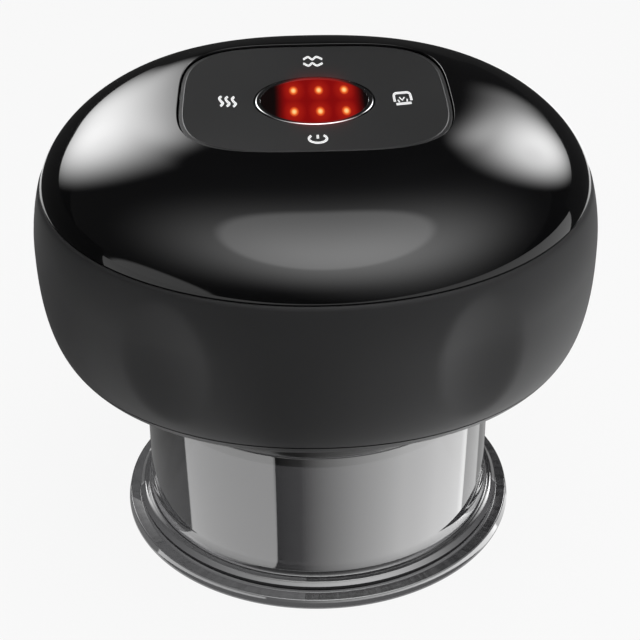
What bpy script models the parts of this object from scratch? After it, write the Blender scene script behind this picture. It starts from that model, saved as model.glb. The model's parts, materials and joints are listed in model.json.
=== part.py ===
"""Electric cupping massager: a pump head with a rocking control panel, on a smoked clear suction cup.

Metres, +Z up. The origin is the centre of the cup's rim, where it stands. The front of the head, with the
power key, faces -Y. Every piece is built in place, and one that moves has its origin on its joint's axis.
"""

import math

import bmesh
import bpy
from mathutils import Matrix, Vector

# Clearances and shared allowances
SEAT_GAP = 0.0003
SLIDE_GAP = 0.0003
CUT_OVERRUN = 0.0010
FUSE_DEPTH = 0.0004

# Round pieces: how many sides they get
HEAD_SIDES = 40
CUP_SIDES = 32
RING_SIDES = 24
BARREL_SIDES = 16
PEG_SIDES = 8
TUBE_RESOLUTION = 1
BEND_STEPS = 8
HELPER_TURN = math.radians(5)

# Outside of the head, as a stack of rounded squares
HEAD_RADIUS = 0.0480
HEEL_RISE = 0.01825
SEAM_INSET = 0.00185
SEAM_RISE = 0.0107
SHELL_STEP = 0.0003
UNDERSIDE_INSET = 0.0097
HIP_POWER = 3.55
HEEL_POWER = 2.29
PARTING_ANGLE = math.radians(53)
CROWN_RISE = 0.0143
CROWN_OVERHANG = 0.00015
CROWN_POWER = 3.0
CROWN_ROUND = 1.8
CROWN_SQUARENESS = 2.63
RIM_SQUARENESS = 2.04
HEEL_SQUARENESS = 2.13
COVER_WALL = 0.0021
SHELL_WALL = 0.0022
BASE_WALL = 0.0020
TONGUE_WALL = 0.0014
TONGUE_DEPTH = 0.0018
LIP_WALL = 0.0012
LIP_GAP = 0.0006
LIP_HEIGHT = 0.0024

# Finger recesses
RECESS_COUNT = 6
RECESS_SECTOR = (-30, -20, -11, -5.5, 0, 5.5, 11, 20)
RECESS_WIDTH = 0.0150
RECESS_LENGTH = 0.0210
RECESS_DEPTH = 0.0010
RECESS_EDGE_POWER = 0.8
RECESS_DROP = 0.0020

# Control panel, its pocket in the cover and the mat that it tilts on
PANEL_HALF = 0.02235
PANEL_SQUARENESS = 3.6
PANEL_DROP = 0.0012
PANEL_DISH = 0.0012
PANEL_THICKNESS = 0.0023
PANEL_CHAMFER = 0.0008
PANEL_CHAMFER_DROP = 0.0004
PANEL_GAP = 0.00035
POCKET_SPACE = 0.0016
POCKET_FLOOR_WALL = 0.0015
POCKET_WALL = 0.0020
KEY_INSET = 0.00745
POST_RADIUS = 0.0012
POST_HOLE_RADIUS = 0.0024
MAT_INSET = 0.00385
MAT_SQUARENESS = 3.2
MAT_THICKNESS = 0.0006
MAT_GAP = 0.00045
MAT_HOLE_RADIUS = 0.0017

# Display
DISPLAY_RADIUS = 0.00993
DISPLAY_WALL = 0.0008
DISPLAY_PROUD = 0.0001
DISPLAY_ROUND = 0.0003
DISPLAY_LEDGE = 0.0006
DISPLAY_PLAY = 0.0004
WINDOW_THICKNESS = 0.0006
WINDOW_RECESS = 0.0002
FLOOR_EYE_RADIUS = 0.0088
LED_COLUMNS = 3
LED_ROWS = 2
LED_COLUMN_PITCH = 0.0044
LED_ROW_PITCH = 0.0088
LED_RADIUS = 0.0015
LED_FLANGE = 0.0004
LED_FLANGE_HEIGHT = 0.0010
LED_HEIGHT = 0.0052
HOLDER_RADIUS = 0.0082
HOLDER_HEIGHT = 0.0022

# Control board and the switches on it
BOARD_DROP = 0.0038
BOARD_THICKNESS = 0.0012
BOARD_RADIUS = 0.0295
BOARD_BOSS_INSET = 0.0045
BOARD_BOSS_RADIUS = 0.0020
CHIP_SIZE = 0.0060
CHIP_HEIGHT = 0.0010
SWITCH_SIDE = 0.0052
SWITCH_HEIGHT = 0.0016
SWITCH_BEVEL = 0.0003
PLUNGER_RADIUS = 0.00105
PLUNGER_PROUD = 0.0009
PLUNGER_SUNK = 0.0005
PLUNGER_TRAVEL = 0.00025
PLUNGER_GAP = 0.00035

# Cup
CUP_WALL_RADIUS = 0.0311
CUP_WALL = 0.0025
CUP_RIM_WIDTH = 0.0047
CUP_RIM_THICKNESS = 0.00173
CUP_RIM_ROUND = 0.0004
MOUTH_ROUND = 0.0006
BEAD_WIDTH = 0.0023
BEAD_HEIGHT = 0.0018
BEAD_ROUND = 0.0010
FLARE_WIDTH = 0.0010
FLARE_HEIGHT = 0.0024
SHOULDER_HEIGHT = 0.0287
SHOULDER_ROUND = 0.0005
NECK_STEP = 0.0022
NECK_WALL = 0.0020
NECK_LENGTH = 0.0093
NECK_TAPER = 0.0020

# Socket that takes the cup's neck
COLLAR_WALL = 0.0028
COLLAR_DEPTH = 0.00875
COLLAR_ROUND = 0.0006
GROOVE_DEPTH = 0.0014
GROOVE_HEIGHT = 0.0026
GROOVE_RISE = 0.0034
SEAL_CLEARANCE = 0.00025
SEAL_ROUND = 0.0004
SOCKET_FLANGE_WIDTH = 0.0026
SOCKET_FLANGE_THICKNESS = 0.0016
CEILING_RISE = 0.0054
CEILING_THICKNESS = 0.0016
SOCKET_WALL = 0.0020
CHAMBER_RADIUS = 0.0067
CHAMBER_WALL = 0.0015
CHAMBER_DEPTH = 0.0034

# Warming plate, red lamps and filter
LAMP_RING_WIDTH = 0.0054
PLATE_EYE_GAP = 0.0006
PLATE_THICKNESS = 0.0014
PLATE_ROUND = 0.0004
PLATE_RISE = 0.0019
FILM_MARGIN = 0.0006
FILM_THICKNESS = 0.0003
INSULATOR_THICKNESS = 0.0009
LAMP_BOARD_THICKNESS = 0.0006
LAMP_COUNT = 6
LAMP_RADIUS = 0.0013
LAMP_HEIGHT = 0.0008
CAP_RADIUS = 0.0080
CAP_THICKNESS = 0.0008
CAP_ROUND = 0.0003
CAP_SKIRT_WALL = 0.0010
CAP_SKIRT_HEIGHT = 0.0013
AIR_HOLE_RADIUS = 0.0009
AIR_HOLE_COUNT = 5
AIR_HOLE_PLACE = 0.0031
PAD_THICKNESS = 0.0015

# Air nozzles and tubes
NOZZLE_RADIUS = 0.0016
NOZZLE_BORE = 0.0009
NOZZLE_LENGTH = 0.0045
TUBE_RADIUS = 0.0027
TUBE_BORE = 0.0019
AIR_LINE_CLEARANCE = 0.0065
SOCKET_NOZZLE_LENGTH = 0.0029
TEE_HALF = 0.0064
TEE_STEM = 0.0044
TEE_STEM_RADIUS = 0.0015
TEE_STEM_BORE = 0.0007

# Inner frame and the screws through the bottom cover
CHASSIS_INSET = 0.0054
CHASSIS_GAP = 0.0006
CHASSIS_THICKNESS = 0.0016
CHASSIS_TUBE_GAP = 0.0005
CRADLE_THICKNESS = 0.0024
CRADLE_HEIGHT = 0.0078
CRADLE_MARGIN = 0.0010
SCREW_COUNT = 4
SCREW_INSET = 0.0044
SCREW_RADIUS = 0.00125
SCREW_LENGTH = 0.0094
SCREW_HEAD_RADIUS = 0.0021
SCREW_HEAD_HEIGHT = 0.0012
SCREW_RECESS = 0.0002
BOSS_RADIUS = 0.0030
CHASSIS_BOSS_HEIGHT = 0.0022

# Cell and its strap
CELL_RADIUS = 0.0092
CELL_LENGTH = 0.0650
CELL_ROUND = 0.0008
CELL_CAP_RADIUS = 0.0030
CELL_CAP_HEIGHT = 0.0012
CELL_Y = -0.0200
CELL_CLEARANCE = 0.0012
CELL_CRADLE_PLACE = 0.0210
STRAP_THICKNESS = 0.0008
STRAP_WIDTH = 0.0080
STRAP_PLACE = 0.0110
STRAP_TAB = 0.0025
LEAD_RADIUS = 0.0009
LEAD_REACH = 0.0034
LEAD_INSET = 0.0074
LEAD_SWAY_SHARE = 0.65

# Pump, along X
PUMP_CLEARANCE = 0.0026
MOTOR_RADIUS = 0.0102
MOTOR_LENGTH = 0.0280
MOTOR_FACE = -0.0020
MOTOR_ROUND = 0.0008
MOTOR_BORE_DEPTH = 0.0220
MOTOR_CRADLE_PLACES = (-0.0255, -0.0075)
CLAMP_PLACE = -0.0128
CLAMP_WIDTH = 0.0060
SHAFT_RADIUS = 0.0010
SHAFT_REACH = 0.0030
SHAFT_LENGTH = 0.0240
CRANK_RADIUS = 0.0042
CRANK_LENGTH = 0.0045
CRANK_START = 0.0004
CRANK_PIN_RADIUS = 0.0008
CRANK_PIN_OFFSET = 0.0022
CRANK_PIN_LENGTH = 0.0036
PUMP_SIDE = 0.0220
PUMP_BEVEL = 0.0010
CRANKCASE_LENGTH = 0.0147
CRANKCASE_WALL = 0.0020
CRANKCASE_BORE = 0.0075
DIAPHRAGM_SIDE = 0.0210
DIAPHRAGM_THICKNESS = 0.0014
VALVE_HEAD_LENGTH = 0.0065
PORT_HALF_PITCH = 0.0045
PORT_RISE = 0.0035
TUBE_REACH = 0.0110

# Release valve, along X
YOKE_LENGTH = 0.0160
YOKE_WIDTH = 0.0094
YOKE_HEIGHT = 0.0106
YOKE_PLATE = 0.0012
YOKE_RIGHT = -0.0170
YOKE_HOLE = 0.0020
COIL_RADIUS = 0.0036
ARMATURE_RADIUS = 0.0017
ARMATURE_LENGTH = 0.0147
SEAT_PLUG = 0.0022
SEAT_LENGTH = 0.0040
SEAT_SIDE = 0.0080
SEAT_BEVEL = 0.0006

# Charging port at the back
PORT_WIDTH = 0.0090
PORT_HEIGHT = 0.0032
PORT_WALL = 0.00035
PORT_LENGTH = 0.0077
PORT_DEPTH = 0.0062
PORT_CLEARANCE = 0.0058
PORT_INSET = 0.0011
PORT_TONGUE_WIDTH = 0.0067
PORT_TONGUE_HEIGHT = 0.0007
PORT_TONGUE_LENGTH = 0.0048
PORT_OPENING_MARGIN = 0.0005
CHARGE_BOARD_WIDTH = 0.0200
CHARGE_BOARD_LENGTH = 0.0150
CHARGE_BOARD_INSET = 0.0045
CHARGE_BOARD_THICKNESS = 0.0012
CHARGE_PEG_RADIUS = 0.0016
CHARGE_PEG_INSET = 0.0030

# Widths that follow from the cup and the head
NECK_RADIUS = CUP_WALL_RADIUS - NECK_STEP
CUP_RIM_RADIUS = CUP_WALL_RADIUS + CUP_RIM_WIDTH
BEAD_RADIUS = CUP_WALL_RADIUS + BEAD_WIDTH
SOCKET_BORE = NECK_RADIUS + SLIDE_GAP
COLLAR_RADIUS = SOCKET_BORE + COLLAR_WALL
GROOVE_RADIUS = SOCKET_BORE + GROOVE_DEPTH
SOCKET_FLANGE_RADIUS = COLLAR_RADIUS + SOCKET_FLANGE_WIDTH
PLATE_RADIUS = SOCKET_BORE - LAMP_RING_WIDTH
SEAM_RADIUS = HEAD_RADIUS - SEAM_INSET
CROWN_REACH = SEAM_RADIUS + CROWN_OVERHANG
UNDERSIDE_RADIUS = HEAD_RADIUS - UNDERSIDE_INSET
CHASSIS_RADIUS = HEAD_RADIUS - CHASSIS_INSET
SCREW_CIRCLE = CHASSIS_RADIUS - SCREW_INSET
PORT_MOUTH = HEAD_RADIUS - PORT_INSET
CHARGE_BOARD_BACK = HEAD_RADIUS - CHARGE_BOARD_INSET
CHARGE_BOARD_FRONT = CHARGE_BOARD_BACK - CHARGE_BOARD_LENGTH
POCKET_HALF = PANEL_HALF + PANEL_GAP
KEY_RADIUS = PANEL_HALF - KEY_INSET
MAT_HALF = PANEL_HALF - MAT_INSET
BOARD_BOSS_PLACE = BOARD_RADIUS - BOARD_BOSS_INSET
LEAD_PLACE = BOARD_RADIUS - LEAD_INSET
AIR_LINE_Y = CELL_Y + CELL_RADIUS + AIR_LINE_CLEARANCE
PUMP_Y = AIR_LINE_Y + YOKE_WIDTH / 2 + PUMP_CLEARANCE + PUMP_SIDE / 2

# Levels, built up from the cup
COLLAR_BOTTOM = SHOULDER_HEIGHT + SEAT_GAP
NECK_TOP = SHOULDER_HEIGHT + NECK_LENGTH
PLATE_UNDERSIDE = NECK_TOP + PLATE_RISE
CEILING_HEIGHT = NECK_TOP + CEILING_RISE
CEILING_TOP = CEILING_HEIGHT + CEILING_THICKNESS
UNDERSIDE_HEIGHT = COLLAR_BOTTOM + COLLAR_DEPTH
BASE_TOP = UNDERSIDE_HEIGHT + BASE_WALL
CHASSIS_UNDERSIDE = CEILING_TOP + CHASSIS_GAP
CHASSIS_TOP = CHASSIS_UNDERSIDE + CHASSIS_THICKNESS
CRADLE_TOP = CHASSIS_TOP + CRADLE_HEIGHT
CELL_HEIGHT = CHASSIS_TOP + CELL_CLEARANCE + CELL_RADIUS
PUMP_HEIGHT = CHASSIS_TOP + SEAT_GAP + PUMP_SIDE / 2
AIR_LINE_HEIGHT = CHASSIS_TOP + SEAT_GAP + YOKE_HEIGHT / 2
PORT_LEVEL = CHASSIS_TOP + PORT_CLEARANCE
WIDEST_HEIGHT = UNDERSIDE_HEIGHT + HEEL_RISE
RECESS_HEIGHT = WIDEST_HEIGHT - RECESS_DROP
SEAM_HEIGHT = WIDEST_HEIGHT + SEAM_RISE
CROWN_HEIGHT = SEAM_HEIGHT + CROWN_RISE
PANEL_EDGE_HEIGHT = CROWN_HEIGHT - PANEL_DROP
PANEL_UNDERSIDE = PANEL_EDGE_HEIGHT - PANEL_THICKNESS
MAT_TOP = PANEL_UNDERSIDE - MAT_GAP
TILT_HEIGHT = MAT_TOP
POCKET_FLOOR = PANEL_UNDERSIDE - POCKET_SPACE
POCKET_CEILING = POCKET_FLOOR - POCKET_FLOOR_WALL
BOARD_TOP = POCKET_FLOOR - BOARD_DROP
BOARD_SEAT = BOARD_TOP + SEAT_GAP
POST_TIP = BOARD_SEAT + SWITCH_HEIGHT + PLUNGER_PROUD + PLUNGER_GAP
DISPLAY_TOP = PANEL_EDGE_HEIGHT - PANEL_DISH * (1 - (DISPLAY_RADIUS / PANEL_HALF) ** 2) + DISPLAY_PROUD
WINDOW_TOP = DISPLAY_TOP - WINDOW_RECESS
CRANKCASE_START = MOTOR_FACE + SEAT_GAP
CRANKCASE_END = CRANKCASE_START + CRANKCASE_LENGTH
VALVE_HEAD_START = CRANKCASE_END + DIAPHRAGM_THICKNESS + 2 * SEAT_GAP
VALVE_HEAD_END = VALVE_HEAD_START + VALVE_HEAD_LENGTH
INLET_Y = PUMP_Y - PORT_HALF_PITCH
INLET_HEIGHT = PUMP_HEIGHT + PORT_RISE
SEAT_START = YOKE_RIGHT + SEAT_GAP
SEAT_END = SEAT_START + SEAT_LENGTH
KEYS = (
    ("power", math.radians(-90)),
    ("suction", math.radians(0)),
    ("massage", math.radians(90)),
    ("heat", math.radians(180)),
)


def clear_scene():
    for item in list(bpy.data.objects):
        bpy.data.objects.remove(item)


def finish(name, colour, roughness, metallic=0.0, transmission=0.0):
    """A material with the piece's own colour and surface."""
    made = bpy.data.materials.new(name)
    made.use_nodes = True
    shader = made.node_tree.nodes["Principled BSDF"]
    shader.inputs["Base Color"].default_value = (*colour, 1.0)
    shader.inputs["Roughness"].default_value = roughness
    shader.inputs["Metallic"].default_value = metallic
    shader.inputs["Transmission Weight"].default_value = transmission
    return made


def solid(name, bm, look):
    """Makes one named object from a bmesh, with its faces pointing out and its round parts smooth."""
    bmesh.ops.recalc_face_normals(bm, faces=bm.faces)
    mesh = bpy.data.meshes.new(name)
    bm.to_mesh(mesh)
    bm.free()
    mesh.shade_smooth()
    mesh.set_sharp_from_angle(angle=math.radians(35))
    made = bpy.data.objects.new(name, mesh)
    if look:
        mesh.materials.append(look)
    bpy.context.scene.collection.objects.link(made)
    return made


def combine(target, helper, operation):
    """Cuts a helper from a piece or joins it on, and keeps the helper out of the model."""
    modifier = target.modifiers.new(operation.title(), "BOOLEAN")
    modifier.operation = operation
    modifier.object = helper
    modifier.use_hole_tolerant = True
    helper.hide_render = True
    helper.display_type = "WIRE"


def cut(target, helper):
    combine(target, helper, "DIFFERENCE")


def join(target, helper):
    combine(target, helper, "UNION")


def pivot(piece, point):
    """Moves a piece's origin to its joint, and leaves its shape where it is."""
    place = Vector(point)
    piece.data.transform(Matrix.Translation(-place))
    piece.location = place


def arc(centre, radii, start, end, steps):
    """Points of an arc in a profile: the centre and the two radii are (outward, upward), angles in degrees."""
    points = []
    for step in range(steps + 1):
        angle = math.radians(start + (end - start) * step / steps)
        points.append((centre[0] + radii[0] * math.cos(angle), centre[1] + radii[1] * math.sin(angle)))
    return points


def axis_frame(axis, centre):
    """Takes a shape that was turned about Z to another axis and place."""
    turn = {
        "Z": Matrix.Identity(4),
        "X": Matrix.Rotation(math.radians(90), 4, "Y"),
        "Y": Matrix.Rotation(math.radians(-90), 4, "X"),
    }[axis]
    return Matrix.Translation(Vector(centre)) @ turn


def turned(name, profile, look, sides, axis="Z", centre=(0, 0, 0)):
    """Spins a profile of (radius, distance along the axis) points into a closed solid.

    A profile that starts and ends on the axis makes a solid piece, and any other is closed into a ring.
    A helper, which has no look, is turned a little so that its corners miss those of the piece.
    """
    bm = bmesh.new()
    points = [bm.verts.new((radius, 0, along)) for radius, along in profile]
    edges = [bm.edges.new(pair) for pair in zip(points, points[1:])]
    if profile[0][0] > 0:
        edges.append(bm.edges.new((points[-1], points[0])))
    bmesh.ops.spin(bm, geom=points + edges, cent=(0, 0, 0), axis=(0, 0, 1), angle=2 * math.pi, steps=sides,
                   use_merge=True)
    bmesh.ops.remove_doubles(bm, verts=bm.verts, dist=SEAT_GAP / 1000)
    turn = Matrix.Identity(4) if look else Matrix.Rotation(HELPER_TURN, 4, "Z")
    bm.transform(axis_frame(axis, centre) @ turn)
    return solid(name, bm, look)


def rod(name, radius, low, high, look, sides, axis="Z", centre=(0, 0, 0), round_by=0):
    """A plain round bar between two places on its axis, with its edges rounded where asked."""
    if round_by:
        profile = [(0, low), (radius - round_by, low), (radius, low + round_by)]
        profile += [(radius, high - round_by), (radius - round_by, high), (0, high)]
    else:
        profile = [(0, low), (radius, low), (radius, high), (0, high)]
    return turned(name, profile, look, sides, axis, centre)


def tube_ring(name, inner, outer, low, high, look, sides, axis="Z", centre=(0, 0, 0)):
    """A plain round sleeve or washer."""
    return turned(name, [(inner, low), (outer, low), (outer, high), (inner, high)], look, sides, axis, centre)


def block(name, low, high, look, bevel=0):
    """A block between two corners, its edges bevelled where asked."""
    low, high = Vector(low), Vector(high)
    bm = bmesh.new()
    bmesh.ops.create_cube(bm, size=1)
    size = high - low
    bm.transform(Matrix.Translation((low + high) / 2) @ Matrix.Diagonal((*size, 1)))
    made = solid(name, bm, look)
    if bevel:
        modifier = made.modifiers.new("Edges", "BEVEL")
        modifier.width = bevel
        modifier.segments = 1
    return made


def extruded(name, outline, axis, low, high, look):
    """Extrudes an outline along X or Y. The outline is (Y, Z) points for X, and (X, Z) points for Y."""
    bm = bmesh.new()
    if axis == "X":
        corners = [bm.verts.new((low, across, up)) for across, up in outline]
        shift = (high - low, 0, 0)
    else:
        corners = [bm.verts.new((across, low, up)) for across, up in outline]
        shift = (0, high - low, 0)
    face = bm.faces.new(corners)
    grown = bmesh.ops.extrude_face_region(bm, geom=[face], use_keep_orig=True)
    moved = [item for item in grown["geom"] if isinstance(item, bmesh.types.BMVert)]
    bmesh.ops.translate(bm, verts=moved, vec=shift)
    return solid(name, bm, look)


def even_angles(sides):
    return [2 * math.pi * side / sides for side in range(sides)]


def ring_points(radius, height, squareness, angles):
    """A level ring between a circle, at squareness 2, and a rounded square."""
    points = []
    for angle in angles:
        across, along = math.cos(angle), math.sin(angle)
        x = math.copysign(abs(across) ** (2 / squareness), across) * radius
        y = math.copysign(abs(along) ** (2 / squareness), along) * radius
        points.append((x, y, height))
    return points


def lofted(name, rings, look, angles=None):
    """Skins a closed loop of rings, each given as (radius, height, squareness)."""
    angles = angles or even_angles(HEAD_SIDES)
    return skinned(name, [ring_points(*ring, angles) for ring in rings], look)


def skinned(name, rings, look):
    """Skins a closed loop of rings of points."""
    bm = bmesh.new()
    loops = [[bm.verts.new(point) for point in ring] for ring in rings]
    sides = len(rings[0])
    for this, after in zip(loops, loops[1:] + loops[:1]):
        for side in range(sides):
            beside = (side + 1) % sides
            bm.faces.new((this[side], this[beside], after[beside], after[side]))
    return solid(name, bm, look)


def offset(points, distance):
    """Moves a profile sideways by a wall's thickness: to its left, going along it."""
    moved = []
    for place, (radius, height) in enumerate(points):
        before = Vector(points[max(place - 1, 0)])
        after = Vector(points[min(place + 1, len(points) - 1)])
        along = (after - before).normalized()
        moved.append((radius - along.y * distance, height + along.x * distance))
    return moved


def routed(name, route, radius, look):
    """A round tube along a route's points."""
    curve = bpy.data.curves.new(name, "CURVE")
    curve.dimensions = "3D"
    curve.bevel_depth = radius
    curve.bevel_resolution = TUBE_RESOLUTION
    curve.use_fill_caps = True
    spline = curve.splines.new("POLY")
    spline.points.add(len(route) - 1)
    for point, place in zip(spline.points, route):
        point.co = (*place, 1)
    guide = bpy.data.objects.new(name + "_route", curve)
    bpy.context.scene.collection.objects.link(guide)
    mesh = bpy.data.meshes.new_from_object(guide.evaluated_get(bpy.context.evaluated_depsgraph_get()))
    bpy.data.objects.remove(guide)
    bm = bmesh.new()
    bm.from_mesh(mesh)
    bpy.data.meshes.remove(mesh)
    bmesh.ops.remove_doubles(bm, verts=bm.verts, dist=SEAT_GAP / 100)
    return solid(name, bm, look)


def half_turn(low, high, reach):
    """Points of a bend from one place to another above it, which swings out along X by a reach."""
    middle, half = (low + high) / 2, (high - low) / 2
    bend = []
    for step in range(BEND_STEPS + 1):
        angle = math.pi * (step / BEND_STEPS - 1 / 2)
        bend.append(middle + half * math.sin(angle) + Vector((reach * math.cos(angle), 0, 0)))
    return bend


def make_lead(name, start, side, look):
    """A lead out of a barrel's end, round a bend and back along under the control board."""
    level = BOARD_TOP - BOARD_THICKNESS - SEAT_GAP - LEAD_RADIUS
    above = Vector((start.x, start.y, level))
    end = Vector((side * LEAD_PLACE, start.y * LEAD_SWAY_SHARE, level))
    routed(name, half_turn(start, above, side * LEAD_REACH) + [end], LEAD_RADIUS, look)


def slot(width, height, centre, steps=6):
    """The outline of a slot with round ends, lying across X at a height."""
    half = height / 2
    reach = width / 2 - half
    right = arc((reach, centre), (half, half), -90, 90, steps)
    left = arc((-reach, centre), (half, half), 90, 270, steps)
    return right + left


def around(radius, angle):
    return radius * math.cos(angle), radius * math.sin(angle)


def dome_height(radius):
    """Height of the cover's crown at a radius. Below the seam's radius it closes like a flattened ball."""
    def bulge(place):
        return (1 - (place / CROWN_REACH) ** CROWN_POWER) ** (1 / CROWN_ROUND)
    low = bulge(SEAM_RADIUS)
    share = (bulge(radius) - low) / (1 - low)
    return SEAM_HEIGHT + (CROWN_HEIGHT - SEAM_HEIGHT) * share


def dome_squareness(radius):
    """The crown goes from the panel's rounded square to nearly a circle at the seam."""
    share = (radius - POCKET_HALF) / (SEAM_RADIUS - POCKET_HALF)
    plain = CROWN_SQUARENESS + (RIM_SQUARENESS - CROWN_SQUARENESS) * share
    blend = max(0, 1 - 3 * share) ** 2
    return plain + (PANEL_SQUARENESS - plain) * blend


def heel(angle):
    """The head's outside below its widest ring: 0 there, and a quarter turn at the flat underside."""
    inward = math.cos(angle) ** (2 / HIP_POWER) if angle < math.pi / 2 else 0
    radius = UNDERSIDE_RADIUS + (HEAD_RADIUS - UNDERSIDE_RADIUS) * inward
    height = WIDEST_HEIGHT - (WIDEST_HEIGHT - UNDERSIDE_HEIGHT) * math.sin(angle) ** (2 / HEEL_POWER)
    return radius, height


def heel_squareness(height):
    share = min(max((WIDEST_HEIGHT - height) / (WIDEST_HEIGHT - UNDERSIDE_HEIGHT), 0), 1)
    return RIM_SQUARENESS + (HEEL_SQUARENESS - RIM_SQUARENESS) * share


def flank(share):
    """The matt shell's outside, from the seam at 0 to the widest ring at 1."""
    rim = SEAM_RADIUS + SHELL_STEP
    top = SEAM_HEIGHT - SEAT_GAP
    return HEAD_RADIUS - (HEAD_RADIUS - rim) * (1 - share) ** 2, top + (WIDEST_HEIGHT - top) * share


def make_cup(look):
    bore = CUP_WALL_RADIUS - CUP_WALL
    neck_bore = NECK_RADIUS - NECK_WALL
    bead_top = CUP_RIM_THICKNESS + BEAD_HEIGHT
    rim_round = (CUP_RIM_ROUND, CUP_RIM_ROUND)
    rim_edge = CUP_RIM_RADIUS - CUP_RIM_ROUND
    profile = arc((bore + MOUTH_ROUND, MOUTH_ROUND), (MOUTH_ROUND, MOUTH_ROUND), 180, 270, 1)
    profile += arc((rim_edge, CUP_RIM_ROUND), rim_round, 270, 360, 1)
    profile += arc((rim_edge, CUP_RIM_THICKNESS - CUP_RIM_ROUND), rim_round, 0, 90, 1)
    profile += [(BEAD_RADIUS, CUP_RIM_THICKNESS)]
    profile += arc((BEAD_RADIUS - BEAD_ROUND, bead_top - BEAD_ROUND), (BEAD_ROUND, BEAD_ROUND), 0, 90, 2)
    profile += arc((CUP_WALL_RADIUS + FLARE_WIDTH, bead_top + FLARE_HEIGHT), (FLARE_WIDTH, FLARE_HEIGHT), 270, 180, 2)
    profile += [(CUP_WALL_RADIUS, SHOULDER_HEIGHT - SHOULDER_ROUND), (CUP_WALL_RADIUS - SHOULDER_ROUND, SHOULDER_HEIGHT)]
    profile += [(NECK_RADIUS, SHOULDER_HEIGHT), (NECK_RADIUS, NECK_TOP - SHOULDER_ROUND)]
    profile += [(NECK_RADIUS - SHOULDER_ROUND, NECK_TOP), (neck_bore, NECK_TOP)]
    profile += [(neck_bore, SHOULDER_HEIGHT), (bore, SHOULDER_HEIGHT - NECK_TAPER)]
    return turned("cup", profile, look, CUP_SIDES)


def make_cup_seal(look):
    inner = NECK_RADIUS + SEAL_CLEARANCE
    outer = GROOVE_RADIUS - SEAL_CLEARANCE
    low = COLLAR_BOTTOM + GROOVE_RISE + SEAT_GAP
    high = low + GROOVE_HEIGHT - 2 * SEAT_GAP
    profile = [(inner, low + SEAL_ROUND), (inner + SEAL_ROUND, low), (outer, low)]
    profile += [(outer, high), (inner + SEAL_ROUND, high), (inner, high - SEAL_ROUND)]
    return turned("cup_seal", profile, look, CUP_SIDES)


def make_cup_socket(look):
    groove_low = COLLAR_BOTTOM + GROOVE_RISE
    groove_high = groove_low + GROOVE_HEIGHT
    flange_low = BASE_TOP + SEAT_GAP
    flange_high = flange_low + SOCKET_FLANGE_THICKNESS
    chamber_outer = CHAMBER_RADIUS + CHAMBER_WALL
    profile = [(0, CEILING_TOP), (SOCKET_BORE + SOCKET_WALL, CEILING_TOP), (SOCKET_BORE + SOCKET_WALL, flange_high)]
    profile += [(SOCKET_FLANGE_RADIUS, flange_high), (SOCKET_FLANGE_RADIUS, flange_low), (COLLAR_RADIUS, flange_low)]
    profile += arc((COLLAR_RADIUS - COLLAR_ROUND, COLLAR_BOTTOM + COLLAR_ROUND), (COLLAR_ROUND, COLLAR_ROUND), 0, -90, 1)
    profile += [(SOCKET_BORE, COLLAR_BOTTOM), (SOCKET_BORE, groove_low), (GROOVE_RADIUS, groove_low)]
    profile += [(GROOVE_RADIUS, groove_high), (SOCKET_BORE, groove_high), (SOCKET_BORE, CEILING_HEIGHT)]
    profile += [(chamber_outer, CEILING_HEIGHT), (chamber_outer, CEILING_HEIGHT - CHAMBER_DEPTH)]
    profile += [(CHAMBER_RADIUS, CEILING_HEIGHT - CHAMBER_DEPTH), (CHAMBER_RADIUS, CEILING_HEIGHT), (0, CEILING_HEIGHT)]
    socket = turned("cup_socket", profile, look, CUP_SIDES)
    place = (0, AIR_LINE_Y, 0)
    top = CEILING_TOP + SOCKET_NOZZLE_LENGTH
    join(socket, rod("socket_nozzle", NOZZLE_RADIUS, CEILING_TOP - FUSE_DEPTH, top, None, PEG_SIDES, "Z", place))
    bore_low, bore_high = CEILING_HEIGHT - CUT_OVERRUN, top + CUT_OVERRUN
    cut(socket, rod("socket_nozzle_bore", NOZZLE_BORE, bore_low, bore_high, None, PEG_SIDES, "Z", place))
    return socket


def make_warming_pieces(metal, film, felt):
    inner = CHAMBER_RADIUS + CHAMBER_WALL + PLATE_EYE_GAP
    top = PLATE_UNDERSIDE + PLATE_THICKNESS
    edge = PLATE_RADIUS - PLATE_ROUND
    profile = [(inner, top), (inner, PLATE_UNDERSIDE), (edge, PLATE_UNDERSIDE)]
    profile += [(PLATE_RADIUS, PLATE_UNDERSIDE + PLATE_ROUND), (PLATE_RADIUS, top)]
    turned("heating_plate", profile, metal, RING_SIDES)
    film_low = top + SEAT_GAP
    film_high = film_low + FILM_THICKNESS
    tube_ring("heater_film", inner + FILM_MARGIN, PLATE_RADIUS - FILM_MARGIN, film_low, film_high, film, RING_SIDES)
    felt_low = film_high + SEAT_GAP
    felt_high = felt_low + INSULATOR_THICKNESS
    tube_ring("heater_insulator", inner + FILM_MARGIN, PLATE_RADIUS - FILM_MARGIN, felt_low, felt_high, felt, RING_SIDES)


def make_lamps(clear, green):
    inner, outer = PLATE_RADIUS + SEAT_GAP, SOCKET_BORE - SEAT_GAP
    lens_top = PLATE_UNDERSIDE + PLATE_THICKNESS
    profile = [(inner, PLATE_UNDERSIDE + PLATE_ROUND), (inner + PLATE_ROUND, PLATE_UNDERSIDE)]
    profile += [(outer, PLATE_UNDERSIDE), (outer, lens_top), (inner, lens_top)]
    turned("lamp_lens", profile, clear, CUP_SIDES)
    board_high = CEILING_HEIGHT - SEAT_GAP
    board_low = board_high - LAMP_BOARD_THICKNESS
    board = tube_ring("lamp_board", inner, outer, board_low, board_high, green, CUP_SIDES)
    for lamp in range(LAMP_COUNT):
        x, y = around((inner + outer) / 2, 2 * math.pi * lamp / LAMP_COUNT)
        name = f"lamp_{lamp + 1}"
        join(board, rod(name, LAMP_RADIUS, board_low - LAMP_HEIGHT, board_low + FUSE_DEPTH, None, PEG_SIDES, "Z", (x, y, 0)))


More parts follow.
